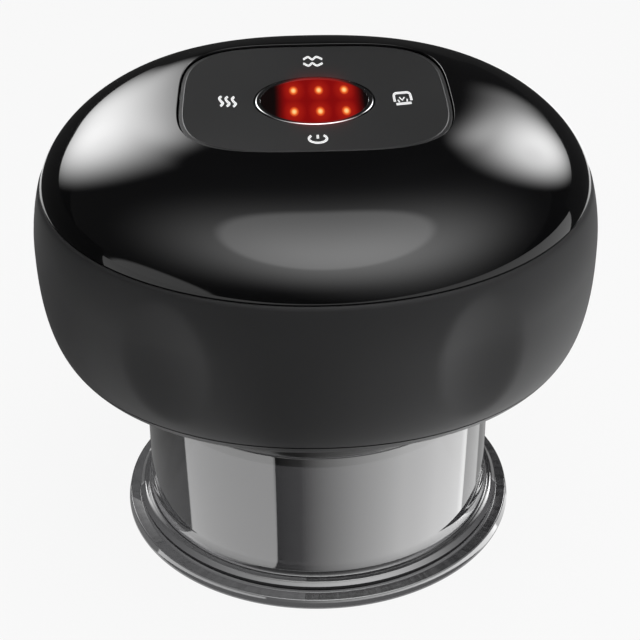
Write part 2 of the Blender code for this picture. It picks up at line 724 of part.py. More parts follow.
def make_filter(black, foam):
    chamber_low = CEILING_HEIGHT - CHAMBER_DEPTH
    high = chamber_low - SEAT_GAP
    low = high - CAP_THICKNESS
    skirt = CHAMBER_RADIUS - SLIDE_GAP
    skirt_top = chamber_low + CAP_SKIRT_HEIGHT
    profile = [(0, low), (CAP_RADIUS - CAP_ROUND, low), (CAP_RADIUS, low + CAP_ROUND), (CAP_RADIUS, high), (skirt, high)]
    profile += [(skirt, skirt_top), (skirt - CAP_SKIRT_WALL, skirt_top), (skirt - CAP_SKIRT_WALL, high), (0, high)]
    cap = turned("filter_cap", profile, black, BARREL_SIDES)
    places = [(0, 0)] + [around(AIR_HOLE_PLACE, 2 * math.pi * hole / AIR_HOLE_COUNT) for hole in range(AIR_HOLE_COUNT)]
    for number, (x, y) in enumerate(places):
        bounds = (low - CUT_OVERRUN, high + CUT_OVERRUN)
        cut(cap, rod(f"air_hole_{number}", AIR_HOLE_RADIUS, *bounds, None, PEG_SIDES, "Z", (x, y, 0)))
    pad_low = skirt_top + SEAT_GAP
    rod("filter_pad", CHAMBER_RADIUS - SEAT_GAP, pad_low, pad_low + PAD_THICKNESS, foam, BARREL_SIDES)
    pivot(cap, (0, 0, high))


def recessed(ring):
    """Presses the finger recesses into a ring of the shell's outside, as soft ovals."""
    points = []
    for x, y, z in ring:
        radius, azimuth = math.hypot(x, y), math.atan2(y, x)
        pitch = 2 * math.pi / RECESS_COUNT
        off_centre = (azimuth + pitch / 2) % pitch - pitch / 2
        across = radius * off_centre / (RECESS_WIDTH / 2)
        up = (z - RECESS_HEIGHT) / (RECESS_LENGTH / 2)
        share = max(0, 1 - across ** 2 - up ** 2)
        inward = 1 - RECESS_DEPTH * share ** RECESS_EDGE_POWER / radius
        points.append((x * inward, y * inward, z))
    return points


def make_side_shell(look):
    outer = [flank(step / 4) for step in range(4)]
    outer += [heel(PARTING_ANGLE * share) for share in (0, 0.12, 0.27, 0.45, 0.7, 1)]
    inner = offset(outer, -SHELL_WALL)[::-3]
    angles = [math.radians(sector + place) for sector in range(0, 360, 60) for place in RECESS_SECTOR]
    rings = [recessed(ring_points(*ring, heel_squareness(ring[1]), angles)) for ring in outer]
    rings += [ring_points(*ring, heel_squareness(ring[1]), angles) for ring in inner]
    shell = skinned("side_shell", rings, look)
    opening = slot(PORT_WIDTH + 2 * PORT_OPENING_MARGIN, PORT_HEIGHT + 2 * PORT_OPENING_MARGIN, PORT_LEVEL)
    inside = HEAD_RADIUS - 2 * SHELL_WALL
    cut(shell, extruded("port_opening", opening, "Y", inside, HEAD_RADIUS + CUT_OVERRUN, None))
    return shell


def make_base_cover(look):
    start = PARTING_ANGLE + 2 * SEAT_GAP / (WIDEST_HEIGHT - UNDERSIDE_HEIGHT)
    angles = [start + (math.pi / 2 - start) * share for share in (0, 0.3, 0.55, 0.75, 0.9, 1)]
    outer = [heel(angle) for angle in angles]
    hole = COLLAR_RADIUS + SEAT_GAP
    shell_inside = offset([heel(PARTING_ANGLE - 0.1), heel(PARTING_ANGLE)], -SHELL_WALL)[-1]
    lip_outer = shell_inside[0] - LIP_GAP
    lip_foot = shell_inside[1] - SEAT_GAP
    lip_inner = lip_outer - LIP_WALL
    rings = [(radius, height, heel_squareness(height)) for radius, height in outer]
    rings += [(hole, UNDERSIDE_HEIGHT, 2), (hole, BASE_TOP, 2), (UNDERSIDE_RADIUS, BASE_TOP, HEEL_SQUARENESS)]
    rings += [(lip_inner, lip_foot - BASE_WALL / 4, HEEL_SQUARENESS), (lip_inner, lip_foot + LIP_HEIGHT, HEEL_SQUARENESS)]
    rings += [(lip_outer, lip_foot + LIP_HEIGHT, HEEL_SQUARENESS), (lip_outer, lip_foot, HEEL_SQUARENESS)]
    cover = lofted("base_cover", rings, look)
    head_low = UNDERSIDE_HEIGHT + SCREW_RECESS
    seat = head_low + SCREW_HEAD_HEIGHT + SEAT_GAP
    for number in range(SCREW_COUNT):
        x, y = around(SCREW_CIRCLE, 2 * math.pi * number / SCREW_COUNT)
        place = (x, y, 0)
        name = f"base_boss_{number + 1}"
        boss_top = CHASSIS_UNDERSIDE - SEAT_GAP
        join(cover, rod(name, BOSS_RADIUS, BASE_TOP - FUSE_DEPTH, boss_top, None, PEG_SIDES, "Z", place))
        sink, bore = SCREW_HEAD_RADIUS + SEAT_GAP, SCREW_RADIUS + SEAT_GAP
        low, high = UNDERSIDE_HEIGHT - CUT_OVERRUN, boss_top + CUT_OVERRUN
        profile = [(0, low), (sink, low), (sink, seat), (bore, seat), (bore, high), (0, high)]
        cut(cover, turned(name + "_bore", profile, None, PEG_SIDES, "Z", place))
    return cover


def make_screws(look):
    head_low = UNDERSIDE_HEIGHT + SCREW_RECESS
    neck = head_low + SCREW_HEAD_HEIGHT
    tip = neck + SCREW_LENGTH
    profile = [(0, head_low), (SCREW_HEAD_RADIUS, head_low), (SCREW_HEAD_RADIUS, neck), (SCREW_RADIUS, neck)]
    profile += [(SCREW_RADIUS, tip), (0, tip)]
    for number in range(SCREW_COUNT):
        x, y = around(SCREW_CIRCLE, 2 * math.pi * number / SCREW_COUNT)
        turned(f"base_screw_{number + 1}", profile, look, PEG_SIDES, "Z", (x, y, 0))


def make_top_cover(look):
    shares = (0, 0.1, 0.3, 0.5, 0.68, 0.82, 0.92, 1)
    outer = [POCKET_HALF + (SEAM_RADIUS - POCKET_HALF) * share for share in shares]
    rings = [(radius, dome_height(radius), dome_squareness(radius)) for radius in outer]
    tongue_outer = SEAM_RADIUS + SHELL_STEP - SHELL_WALL - SEAT_GAP
    tongue_inner = tongue_outer - TONGUE_WALL
    tongue_low = SEAM_HEIGHT - TONGUE_DEPTH
    rings += [(tongue_outer, SEAM_HEIGHT, RIM_SQUARENESS), (tongue_outer, tongue_low, RIM_SQUARENESS)]
    rings += [(tongue_inner, tongue_low, RIM_SQUARENESS)]
    wall = POCKET_HALF + POCKET_WALL
    for share in (0.9, 0.7, 0.35):
        radius = wall + (SEAM_RADIUS - COVER_WALL - wall) * share
        rings.append((radius, dome_height(radius + COVER_WALL / 2) - COVER_WALL, dome_squareness(radius)))
    rings += [(wall, dome_height(wall) - COVER_WALL, PANEL_SQUARENESS), (wall, POCKET_CEILING, PANEL_SQUARENESS)]
    rings += [(FLOOR_EYE_RADIUS, POCKET_CEILING, 2), (FLOOR_EYE_RADIUS, POCKET_FLOOR, 2)]
    rings += [(POCKET_HALF, POCKET_FLOOR, PANEL_SQUARENESS)]
    cover = lofted("top_cover", rings, look)
    for name, angle in KEYS:
        x, y = around(KEY_RADIUS, angle)
        bounds = (POCKET_CEILING - CUT_OVERRUN, POCKET_FLOOR + CUT_OVERRUN)
        cut(cover, rod(f"{name}_post_hole", POST_HOLE_RADIUS, *bounds, None, PEG_SIDES, "Z", (x, y, 0)))
        x, y = around(BOARD_BOSS_PLACE, angle + math.pi / 4)
        bounds = (BOARD_SEAT, POCKET_CEILING + FUSE_DEPTH)
        join(cover, rod(f"{name}_board_boss", BOARD_BOSS_RADIUS, *bounds, None, PEG_SIDES, "Z", (x, y, 0)))
    return cover


def panel_height(radius):
    return PANEL_EDGE_HEIGHT - PANEL_DISH * (1 - (radius / PANEL_HALF) ** 2)


def make_control_panel(look):
    hole = DISPLAY_RADIUS + DISPLAY_PLAY
    flat = PANEL_HALF - PANEL_CHAMFER
    rings = []
    for share in (0, 0.25, 0.5, 0.75, 1):
        radius = hole + (flat - hole) * share
        rings.append((radius, panel_height(radius), 2 + (PANEL_SQUARENESS - 2) * share))
    rings += [(PANEL_HALF, panel_height(flat) - PANEL_CHAMFER_DROP, PANEL_SQUARENESS)]
    rings += [(PANEL_HALF, PANEL_UNDERSIDE, PANEL_SQUARENESS), (hole, PANEL_UNDERSIDE, 2)]
    panel = lofted("control_panel", rings, look)
    for name, angle in KEYS:
        x, y = around(KEY_RADIUS, angle)
        bounds = (POST_TIP, PANEL_UNDERSIDE + FUSE_DEPTH)
        join(panel, rod(f"{name}_post", POST_RADIUS, *bounds, None, PEG_SIDES, "Z", (x, y, 0)))
    pivot(panel, (0, 0, TILT_HEIGHT))


def make_key_mat(look):
    hole = DISPLAY_RADIUS + DISPLAY_PLAY
    low = MAT_TOP - MAT_THICKNESS
    rings = [(hole, low, 2), (hole, MAT_TOP, 2), (MAT_HALF, MAT_TOP, MAT_SQUARENESS), (MAT_HALF, low, MAT_SQUARENESS)]
    mat = lofted("key_mat", rings, look, even_angles(RING_SIDES))
    for name, angle in KEYS:
        x, y = around(KEY_RADIUS, angle)
        bounds = (low - CUT_OVERRUN, MAT_TOP + CUT_OVERRUN)
        cut(mat, rod(f"{name}_mat_hole", MAT_HOLE_RADIUS, *bounds, None, PEG_SIDES, "Z", (x, y, 0)))
    pivot(mat, (0, 0, TILT_HEIGHT))


def make_display(chrome, smoked, holder_look, led_look):
    low = POCKET_FLOOR + SEAT_GAP
    inner = DISPLAY_RADIUS - DISPLAY_WALL
    ledge = WINDOW_TOP - WINDOW_THICKNESS - SEAT_GAP
    profile = [(inner - DISPLAY_LEDGE, low), (DISPLAY_RADIUS, low), (DISPLAY_RADIUS, DISPLAY_TOP - DISPLAY_ROUND)]
    profile += [(DISPLAY_RADIUS - DISPLAY_ROUND, DISPLAY_TOP), (inner + DISPLAY_ROUND / 2, DISPLAY_TOP)]
    profile += [(inner, DISPLAY_TOP - DISPLAY_ROUND), (inner, ledge), (inner - DISPLAY_LEDGE, ledge)]
    turned("display_ring", profile, chrome, RING_SIDES)
    rod("display_window", inner - SEAT_GAP, WINDOW_TOP - WINDOW_THICKNESS, WINDOW_TOP, smoked, RING_SIDES)
    holder_low = BOARD_SEAT + LED_FLANGE_HEIGHT + SEAT_GAP
    holder_high = holder_low + HOLDER_HEIGHT
    holder = rod("led_holder", HOLDER_RADIUS, holder_low, holder_high, holder_look, RING_SIDES)
    number = 0
    for row in range(LED_ROWS):
        for column in range(LED_COLUMNS):
            number += 1
            place = ((column - (LED_COLUMNS - 1) / 2) * LED_COLUMN_PITCH, (row - (LED_ROWS - 1) / 2) * LED_ROW_PITCH, 0)
            bounds = (holder_low - CUT_OVERRUN, holder_high + CUT_OVERRUN)
            cut(holder, rod(f"led_bore_{number}", LED_RADIUS + SEAT_GAP, *bounds, None, PEG_SIDES, "Z", place))
            base, top = BOARD_SEAT, BOARD_SEAT + LED_HEIGHT
            foot = base + LED_FLANGE_HEIGHT
            profile = [(0, base), (LED_RADIUS + LED_FLANGE, base), (LED_RADIUS + LED_FLANGE, foot), (LED_RADIUS, foot)]
            profile += arc((0, top - LED_RADIUS), (LED_RADIUS, LED_RADIUS), 0, 90, 2)[:-1] + [(0, top)]
            turned(f"indicator_led_{number}", profile, led_look, PEG_SIDES, "Z", place)


def make_control_board(look):
    low = BOARD_TOP - BOARD_THICKNESS
    board = rod("control_board", BOARD_RADIUS, low, BOARD_TOP, look, RING_SIDES)
    half = CHIP_SIZE / 2
    for number, (x, y) in enumerate(((-2, -1), (1, 2), (2, -2))):
        corner = Vector((x * CHIP_SIZE - half, y * CHIP_SIZE - half, low - CHIP_HEIGHT))
        top = corner + Vector((CHIP_SIZE, CHIP_SIZE, CHIP_HEIGHT + FUSE_DEPTH))
        join(board, block(f"chip_{number + 1}", corner, top, None))


def make_switches(case_look, plunger_look):
    top = BOARD_SEAT + SWITCH_HEIGHT
    tip = top + PLUNGER_PROUD
    foot = top - PLUNGER_SUNK
    half = SWITCH_SIDE / 2
    for name, angle in KEYS:
        x, y = around(KEY_RADIUS, angle)
        low, high = (x - half, y - half, BOARD_SEAT), (x + half, y + half, top)
        case = block(f"switch_{name}", low, high, case_look, SWITCH_BEVEL)
        floor = foot - PLUNGER_TRAVEL - SLIDE_GAP
        well = PLUNGER_RADIUS + SLIDE_GAP
        cut(case, rod(f"{name}_plunger_well", well, floor, top + CUT_OVERRUN, None, PEG_SIDES, "Z", (x, y, 0)))
        plunger = rod(f"plunger_{name}", PLUNGER_RADIUS, foot, tip, plunger_look, PEG_SIDES, "Z", (x, y, 0))
        pivot(plunger, (x, y, foot))


def cradle(name, centre_y, centre_z, radius, place, chassis):
    """A rib across the frame with a round seat for a barrel that lies along X."""
    half = radius + CRADLE_MARGIN
    low = (place - CRADLE_THICKNESS / 2, centre_y - half, CHASSIS_TOP - FUSE_DEPTH)
    high = (place + CRADLE_THICKNESS / 2, centre_y + half, CRADLE_TOP)
    rib = block(name, low, high, None)
    reach = CRADLE_THICKNESS / 2 + CUT_OVERRUN
    seat = (0, centre_y, centre_z)
    cut(rib, rod(name + "_seat", radius + SEAT_GAP, place - reach, place + reach, None, BARREL_SIDES, "X", seat))
    join(chassis, rib)


def make_chassis(look):
    chassis = rod("chassis", CHASSIS_RADIUS, CHASSIS_UNDERSIDE, CHASSIS_TOP, look, RING_SIDES)
    for number, place in enumerate((-CELL_CRADLE_PLACE, CELL_CRADLE_PLACE)):
        cradle(f"cell_cradle_{number + 1}", CELL_Y, CELL_HEIGHT, CELL_RADIUS, place, chassis)
    for number, place in enumerate(MOTOR_CRADLE_PLACES):
        cradle(f"motor_cradle_{number + 1}", PUMP_Y, PUMP_HEIGHT, MOTOR_RADIUS, place, chassis)
    boss_top = CHASSIS_TOP + CHASSIS_BOSS_HEIGHT
    for number in range(SCREW_COUNT):
        x, y = around(SCREW_CIRCLE, 2 * math.pi * number / SCREW_COUNT)
        name = f"chassis_boss_{number + 1}"
        place = (x, y, 0)
        join(chassis, rod(name, BOSS_RADIUS, CHASSIS_TOP - FUSE_DEPTH, boss_top, None, PEG_SIDES, "Z", place))
        bounds = (CHASSIS_UNDERSIDE - CUT_OVERRUN, boss_top + CUT_OVERRUN)
        cut(chassis, rod(name + "_bore", SCREW_RADIUS + SEAT_GAP, *bounds, None, PEG_SIDES, "Z", place))
    hole = TUBE_RADIUS + CHASSIS_TUBE_GAP
    bounds = (CHASSIS_UNDERSIDE - CUT_OVERRUN, CHASSIS_TOP + CUT_OVERRUN)
    cut(chassis, rod("tube_hole", hole, *bounds, None, PEG_SIDES, "Z", (0, AIR_LINE_Y, 0)))
    peg_top = PORT_LEVEL - PORT_HEIGHT / 2 - CHARGE_BOARD_THICKNESS - 2 * SEAT_GAP
    for number, side in enumerate((-1, 1)):
        x = side * (CHARGE_BOARD_WIDTH / 2 - CHARGE_PEG_INSET)
        place = (x, CHARGE_BOARD_FRONT + CHARGE_PEG_INSET, 0)
        bounds = (CHASSIS_TOP - FUSE_DEPTH, peg_top)
        join(chassis, rod(f"charge_peg_{number + 1}", CHARGE_PEG_RADIUS, *bounds, None, PEG_SIDES, "Z", place))


def strap_outline(centre_y, centre_z, radius):
    """A band that goes over a barrel and down to two tabs on the frame."""
    inner = radius + SEAT_GAP
    outer = inner + STRAP_THICKNESS
    foot = CHASSIS_TOP + SEAT_GAP
    tab_top = foot + STRAP_THICKNESS
    tab = outer + STRAP_TAB
    points = [(centre_y + tab, foot), (centre_y + tab, tab_top), (centre_y + outer, tab_top)]
    points += arc((centre_y, centre_z), (outer, outer), 0, 180, 12)
    points += [(centre_y - outer, tab_top), (centre_y - tab, tab_top), (centre_y - tab, foot), (centre_y - inner, foot)]
    points += arc((centre_y, centre_z), (inner, inner), 180, 0, 12)
    return points + [(centre_y + inner, foot)]


def make_cell(cell_look, strap_look, lead_look):
    half = CELL_LENGTH / 2
    shoulder = half - CELL_CAP_HEIGHT
    profile = [(0, -half), (CELL_RADIUS - CELL_ROUND, -half), (CELL_RADIUS, CELL_ROUND - half)]
    profile += [(CELL_RADIUS, shoulder - CELL_ROUND), (CELL_RADIUS - CELL_ROUND, shoulder)]
    profile += [(CELL_CAP_RADIUS, shoulder), (CELL_CAP_RADIUS, half), (0, half)]
    turned("battery_cell", profile, cell_look, BARREL_SIDES, "X", (0, CELL_Y, CELL_HEIGHT))
    outline = strap_outline(CELL_Y, CELL_HEIGHT, CELL_RADIUS)
    low, high = STRAP_PLACE - STRAP_WIDTH / 2, STRAP_PLACE + STRAP_WIDTH / 2
    extruded("battery_strap", outline, "X", low, high, strap_look)
    make_lead("battery_lead", Vector((half + SEAT_GAP, CELL_Y, CELL_HEIGHT)), 1, lead_look)


def make_pump(steel, clamp_look, shaft_look, crank_look, case_look, rubber, head_look, lead_look):
    centre = (0, PUMP_Y, PUMP_HEIGHT)
    back = MOTOR_FACE - MOTOR_LENGTH
    bore = SHAFT_RADIUS + SLIDE_GAP
    bore_end = MOTOR_FACE - MOTOR_BORE_DEPTH
    profile = [(0, back), (MOTOR_RADIUS - MOTOR_ROUND, back), (MOTOR_RADIUS, back + MOTOR_ROUND)]
    profile += [(MOTOR_RADIUS, MOTOR_FACE - MOTOR_ROUND), (MOTOR_RADIUS - MOTOR_ROUND, MOTOR_FACE)]
    profile += [(bore, MOTOR_FACE), (bore, bore_end), (0, bore_end)]
    turned("pump_motor", profile, steel, BARREL_SIDES, "X", centre)
    outline = strap_outline(PUMP_Y, PUMP_HEIGHT, MOTOR_RADIUS)
    extruded("pump_clamp", outline, "X", CLAMP_PLACE - CLAMP_WIDTH / 2, CLAMP_PLACE + CLAMP_WIDTH / 2, clamp_look)
    shaft = rod("motor_shaft", SHAFT_RADIUS, SHAFT_REACH - SHAFT_LENGTH, SHAFT_REACH, shaft_look, PEG_SIDES, "X", centre)
    pivot(shaft, centre)
    crank_end = CRANK_START + CRANK_LENGTH
    hub_end = SHAFT_REACH + SEAT_GAP
    profile = [(bore, CRANK_START), (CRANK_RADIUS, CRANK_START), (CRANK_RADIUS, crank_end), (0, crank_end)]
    profile += [(0, hub_end), (bore, hub_end)]
    crank = turned("pump_crank", [(0, hub_end), (bore, hub_end)] + profile[:4], crank_look, PEG_SIDES, "X", centre)
    pin = (0, PUMP_Y + CRANK_PIN_OFFSET, PUMP_HEIGHT)
    pin_end = crank_end + CRANK_PIN_LENGTH
    join(crank, rod("crank_pin", CRANK_PIN_RADIUS, crank_end - FUSE_DEPTH, pin_end, None, PEG_SIDES, "X", pin))
    pivot(crank, centre)
    half = PUMP_SIDE / 2
    low, high = Vector((0, PUMP_Y - half, PUMP_HEIGHT - half)), Vector((0, PUMP_Y + half, PUMP_HEIGHT + half))
    case_low, case_high = low + Vector((CRANKCASE_START, 0, 0)), high + Vector((CRANKCASE_END, 0, 0))
    case = block("pump_body", case_low, case_high, case_look, PUMP_BEVEL)
    bounds = (CRANKCASE_START - CUT_OVERRUN, CRANKCASE_END - CRANKCASE_WALL)
    cut(case, rod("crankcase_bore", CRANKCASE_BORE, *bounds, None, BARREL_SIDES, "X", centre))
    inset = (PUMP_SIDE - DIAPHRAGM_SIDE) / 2
    sheet_low = low + Vector((CRANKCASE_END + SEAT_GAP, inset, inset))
    sheet_high = high + Vector((CRANKCASE_END + SEAT_GAP + DIAPHRAGM_THICKNESS, -inset, -inset))
    block("pump_diaphragm", sheet_low, sheet_high, rubber)
    head_low, head_high = low + Vector((VALVE_HEAD_START, 0, 0)), high + Vector((VALVE_HEAD_END, 0, 0))
    head = block("pump_head", head_low, head_high, head_look, PUMP_BEVEL)
    for number, side in enumerate((-1, 1)):
        place = (0, PUMP_Y + side * PORT_HALF_PITCH, INLET_HEIGHT)
        end = VALVE_HEAD_END + NOZZLE_LENGTH
        name = f"pump_nozzle_{number + 1}"
        join(head, rod(name, NOZZLE_RADIUS, VALVE_HEAD_END - FUSE_DEPTH, end, None, PEG_SIDES, "X", place))
        bounds = (VALVE_HEAD_END - NOZZLE_LENGTH / 2, end + CUT_OVERRUN)
        cut(head, rod(name + "_bore", NOZZLE_BORE, *bounds, None, PEG_SIDES, "X", place))
    make_lead("motor_lead", Vector((back - SEAT_GAP, PUMP_Y - MOTOR_RADIUS / 2, PUMP_HEIGHT)), -1, lead_look)


def make_release_valve(steel, copper, armature_look, seat_look):
    left = YOKE_RIGHT - YOKE_LENGTH
    foot = CHASSIS_TOP + SEAT_GAP
    half = YOKE_WIDTH / 2
    low = Vector((left, AIR_LINE_Y - half, foot))
    high = Vector((YOKE_RIGHT, AIR_LINE_Y + half, foot + YOKE_HEIGHT))
    yoke = block("valve_yoke", low, high, steel)
    inset = Vector((YOKE_PLATE, -CUT_OVERRUN, YOKE_PLATE))
    cut(yoke, block("yoke_window", low + inset, high - inset, None))
    centre = (0, AIR_LINE_Y, AIR_LINE_HEIGHT)
    bounds = (left - CUT_OVERRUN, YOKE_RIGHT + CUT_OVERRUN)
    cut(yoke, rod("yoke_holes", YOKE_HOLE, *bounds, None, PEG_SIDES, "X", centre))
    coil_low, coil_high = left + YOKE_PLATE + SEAT_GAP, YOKE_RIGHT - YOKE_PLATE - SEAT_GAP
    tube_ring("valve_coil", YOKE_HOLE, COIL_RADIUS, coil_low, coil_high, copper, BARREL_SIDES, "X", centre)
    plug_start = SEAT_START - SEAT_PLUG
    armature_end = plug_start - SEAT_GAP
    armature_start = armature_end - ARMATURE_LENGTH
    plunger = rod("valve_plunger", ARMATURE_RADIUS, armature_start, armature_end, armature_look, PEG_SIDES, "X", centre)
    pivot(plunger, (armature_end, AIR_LINE_Y, AIR_LINE_HEIGHT))
    half = SEAT_SIDE / 2
    low = (SEAT_START, AIR_LINE_Y - half, AIR_LINE_HEIGHT - half)
    high = (SEAT_END, AIR_LINE_Y + half, AIR_LINE_HEIGHT + half)
    seat = block("valve_seat", low, high, seat_look, SEAT_BEVEL)
    nozzle_end = SEAT_END + NOZZLE_LENGTH
    join(seat, rod("valve_nozzle", NOZZLE_RADIUS, plug_start, nozzle_end, None, PEG_SIDES, "X", centre))
    bounds = (plug_start - CUT_OVERRUN, nozzle_end + CUT_OVERRUN)
    cut(seat, rod("valve_nozzle_bore", NOZZLE_BORE, *bounds, None, PEG_SIDES, "X", centre))


def make_air_line(tee_look, rubber):
    centre = (0, AIR_LINE_Y, AIR_LINE_HEIGHT)
    stem_place = (0, AIR_LINE_Y, 0)
    stem_low = AIR_LINE_HEIGHT - TEE_STEM
    hub = TUBE_RADIUS
    low = Vector(centre) - Vector((hub, hub, hub))
    tee = block("air_tee", low, Vector(centre) + Vector((hub, hub, hub)), tee_look)
    join(tee, rod("tee_run", NOZZLE_RADIUS, -TEE_HALF, TEE_HALF, None, PEG_SIDES, "X", centre))
    join(tee, rod("tee_stem", TEE_STEM_RADIUS, stem_low, AIR_LINE_HEIGHT - FUSE_DEPTH, None, PEG_SIDES, "Z", stem_place))
    reach = TEE_HALF + CUT_OVERRUN
    bore = rod("tee_run_bore", NOZZLE_BORE, -reach, reach, None, PEG_SIDES, "X", centre)
    bounds = (stem_low - CUT_OVERRUN, AIR_LINE_HEIGHT - FUSE_DEPTH)
    join(bore, rod("tee_stem_bore", TEE_STEM_BORE, *bounds, None, PEG_SIDES, "Z", stem_place))
    cut(tee, bore)
    hub_side = hub + SEAT_GAP
    low, high = CEILING_TOP + SEAT_GAP, AIR_LINE_HEIGHT - hub_side
    tube_ring("suction_tube", TUBE_BORE, TUBE_RADIUS, low, high, rubber, PEG_SIDES, "Z", stem_place)
    tube_ring("valve_tube", TUBE_BORE, TUBE_RADIUS, SEAT_END + SEAT_GAP, -hub_side, rubber, PEG_SIDES, "X", centre)
    start = Vector((hub_side, AIR_LINE_Y, AIR_LINE_HEIGHT))
    end = Vector((VALVE_HEAD_END + SEAT_GAP, INLET_Y, INLET_HEIGHT))
    turn = end.x + NOZZLE_LENGTH + CUT_OVERRUN
    bend = half_turn(Vector((turn, start.y, start.z)), Vector((turn, end.y, end.z)), TUBE_REACH)
    tube = routed("pump_tube", [start] + bend + [end], TUBE_RADIUS, rubber)
    over = Vector((CUT_OVERRUN, 0, 0))
    cut(tube, routed("pump_tube_bore", [start - over] + bend + [end - over], TUBE_BORE, None))


def make_charging(board_look, steel, tongue_look):
    top = PORT_LEVEL - PORT_HEIGHT / 2 - SEAT_GAP
    half = CHARGE_BOARD_WIDTH / 2
    low = (-half, CHARGE_BOARD_FRONT, top - CHARGE_BOARD_THICKNESS)
    block("charge_board", low, (half, CHARGE_BOARD_BACK, top), board_look)
    outline = slot(PORT_WIDTH, PORT_HEIGHT, PORT_LEVEL)
    port = extruded("charge_port", outline, "Y", PORT_MOUTH - PORT_LENGTH, PORT_MOUTH, steel)
    inside = slot(PORT_WIDTH - 2 * PORT_WALL, PORT_HEIGHT - 2 * PORT_WALL, PORT_LEVEL)
    floor = PORT_MOUTH - PORT_DEPTH
    cut(port, extruded("port_well", inside, "Y", floor, PORT_MOUTH + CUT_OVERRUN, None))
    half_width, half_height = PORT_TONGUE_WIDTH / 2, PORT_TONGUE_HEIGHT / 2
    low = (-half_width, floor - FUSE_DEPTH, PORT_LEVEL - half_height)
    join(port, block("port_tongue", low, (half_width, floor + PORT_TONGUE_LENGTH, PORT_LEVEL + half_height), tongue_look))


def main():
    clear_scene()
    gloss_black = finish("gloss black", (0.006, 0.006, 0.007), 0.06)
    matt_shell = finish("matt shell", (0.045, 0.046, 0.048), 0.55)
    matt_base = finish("matt base", (0.030, 0.031, 0.033), 0.45)
    panel_black = finish("panel black", (0.022, 0.022, 0.024), 0.50)
    smoked_clear = finish("smoked clear", (0.16, 0.16, 0.17), 0.04, transmission=0.9)
    smoked_lens = finish("smoked lens", (0.05, 0.005, 0.005), 0.05, transmission=0.5)
    collar_black = finish("collar black", (0.020, 0.020, 0.022), 0.20)
    chrome = finish("bright chrome", (0.80, 0.80, 0.82), 0.08, metallic=1.0)
    rubber = finish("grey rubber", (0.08, 0.08, 0.08), 0.70)
    red_rubber = finish("red silicone", (0.45, 0.08, 0.05), 0.60)
    clear_silicone = finish("milky silicone", (0.62, 0.62, 0.60), 0.40, transmission=0.3)
    white_nylon = finish("white nylon", (0.72, 0.72, 0.70), 0.45)
    frame_black = finish("frame black", (0.03, 0.03, 0.03), 0.50)
    green_board = finish("green board", (0.02, 0.16, 0.06), 0.45)
    aluminium = finish("brushed aluminium", (0.72, 0.72, 0.73), 0.30, metallic=1.0)
    steel = finish("plated steel", (0.62, 0.62, 0.62), 0.28, metallic=1.0)
    copper = finish("enamelled copper", (0.60, 0.25, 0.10), 0.35, metallic=1.0)
    film = finish("heater film", (0.70, 0.32, 0.05), 0.35)
    felt = finish("white felt", (0.70, 0.68, 0.62), 0.95)
    foam = finish("filter foam", (0.70, 0.70, 0.68), 0.95)
    red_clear = finish("red clear", (0.70, 0.03, 0.02), 0.10, transmission=0.8)
    cell_wrap = finish("blue cell wrap", (0.05, 0.16, 0.45), 0.35)
    lead_red = finish("red lead", (0.55, 0.03, 0.03), 0.45)

    make_cup(smoked_clear)
    pivot(make_cup_seal(rubber), (0, 0, COLLAR_BOTTOM))
    make_cup_socket(collar_black)
    make_warming_pieces(aluminium, film, felt)
    make_lamps(red_clear, green_board)
    make_filter(frame_black, foam)
    make_side_shell(matt_shell)
    make_base_cover(matt_base)
    make_screws(steel)
    make_top_cover(gloss_black)
    make_control_panel(panel_black)
    make_key_mat(clear_silicone)
    make_display(chrome, smoked_lens, frame_black, red_clear)
    make_control_board(green_board)
    make_switches(frame_black, white_nylon)
    make_chassis(white_nylon)
    make_cell(cell_wrap, frame_black, lead_red)
    make_pump(steel, frame_black, steel, white_nylon, white_nylon, red_rubber, frame_black, lead_red)
    make_release_valve(steel, copper, steel, frame_black)
    make_air_line(frame_black, clear_silicone)
    make_charging(green_board, steel, frame_black)


main()
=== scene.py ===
"""Studio scene of the cupping massager: fine shells, cup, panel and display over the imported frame."""

import json
import math

import bpy
from mathutils import Matrix, Vector


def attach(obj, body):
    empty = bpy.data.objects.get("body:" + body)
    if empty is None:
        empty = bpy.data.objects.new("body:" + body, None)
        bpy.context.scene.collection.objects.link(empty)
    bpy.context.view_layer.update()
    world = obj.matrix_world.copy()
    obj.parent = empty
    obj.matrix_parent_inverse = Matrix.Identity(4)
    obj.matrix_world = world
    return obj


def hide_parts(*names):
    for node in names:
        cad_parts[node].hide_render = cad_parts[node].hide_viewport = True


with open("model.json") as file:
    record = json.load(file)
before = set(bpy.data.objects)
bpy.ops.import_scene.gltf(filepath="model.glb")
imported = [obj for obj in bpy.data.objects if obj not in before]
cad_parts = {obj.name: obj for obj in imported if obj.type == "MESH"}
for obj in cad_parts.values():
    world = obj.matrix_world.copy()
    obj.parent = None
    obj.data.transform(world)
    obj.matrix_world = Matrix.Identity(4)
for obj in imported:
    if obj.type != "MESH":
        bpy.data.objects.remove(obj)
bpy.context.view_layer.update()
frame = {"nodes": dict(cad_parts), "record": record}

# Round pieces: how many sides they get
HEAD_SIDES = 192
GRIP_SIDES = 288
CUP_SIDES = 192
RING_SIDES = 128
SLOT_SIDES = 64
SMALL_SIDES = 32
ROUND_STEPS = 5
EDGE_STEPS = 3
SEAL_STEPS = 4
SCREW_STEPS = 4
COLLAR_STEPS = 6
BEZEL_STEPS = 8
FLARE_STEPS = 8
SMOOTH_ANGLE = math.radians(32)
WELD = 0.000001

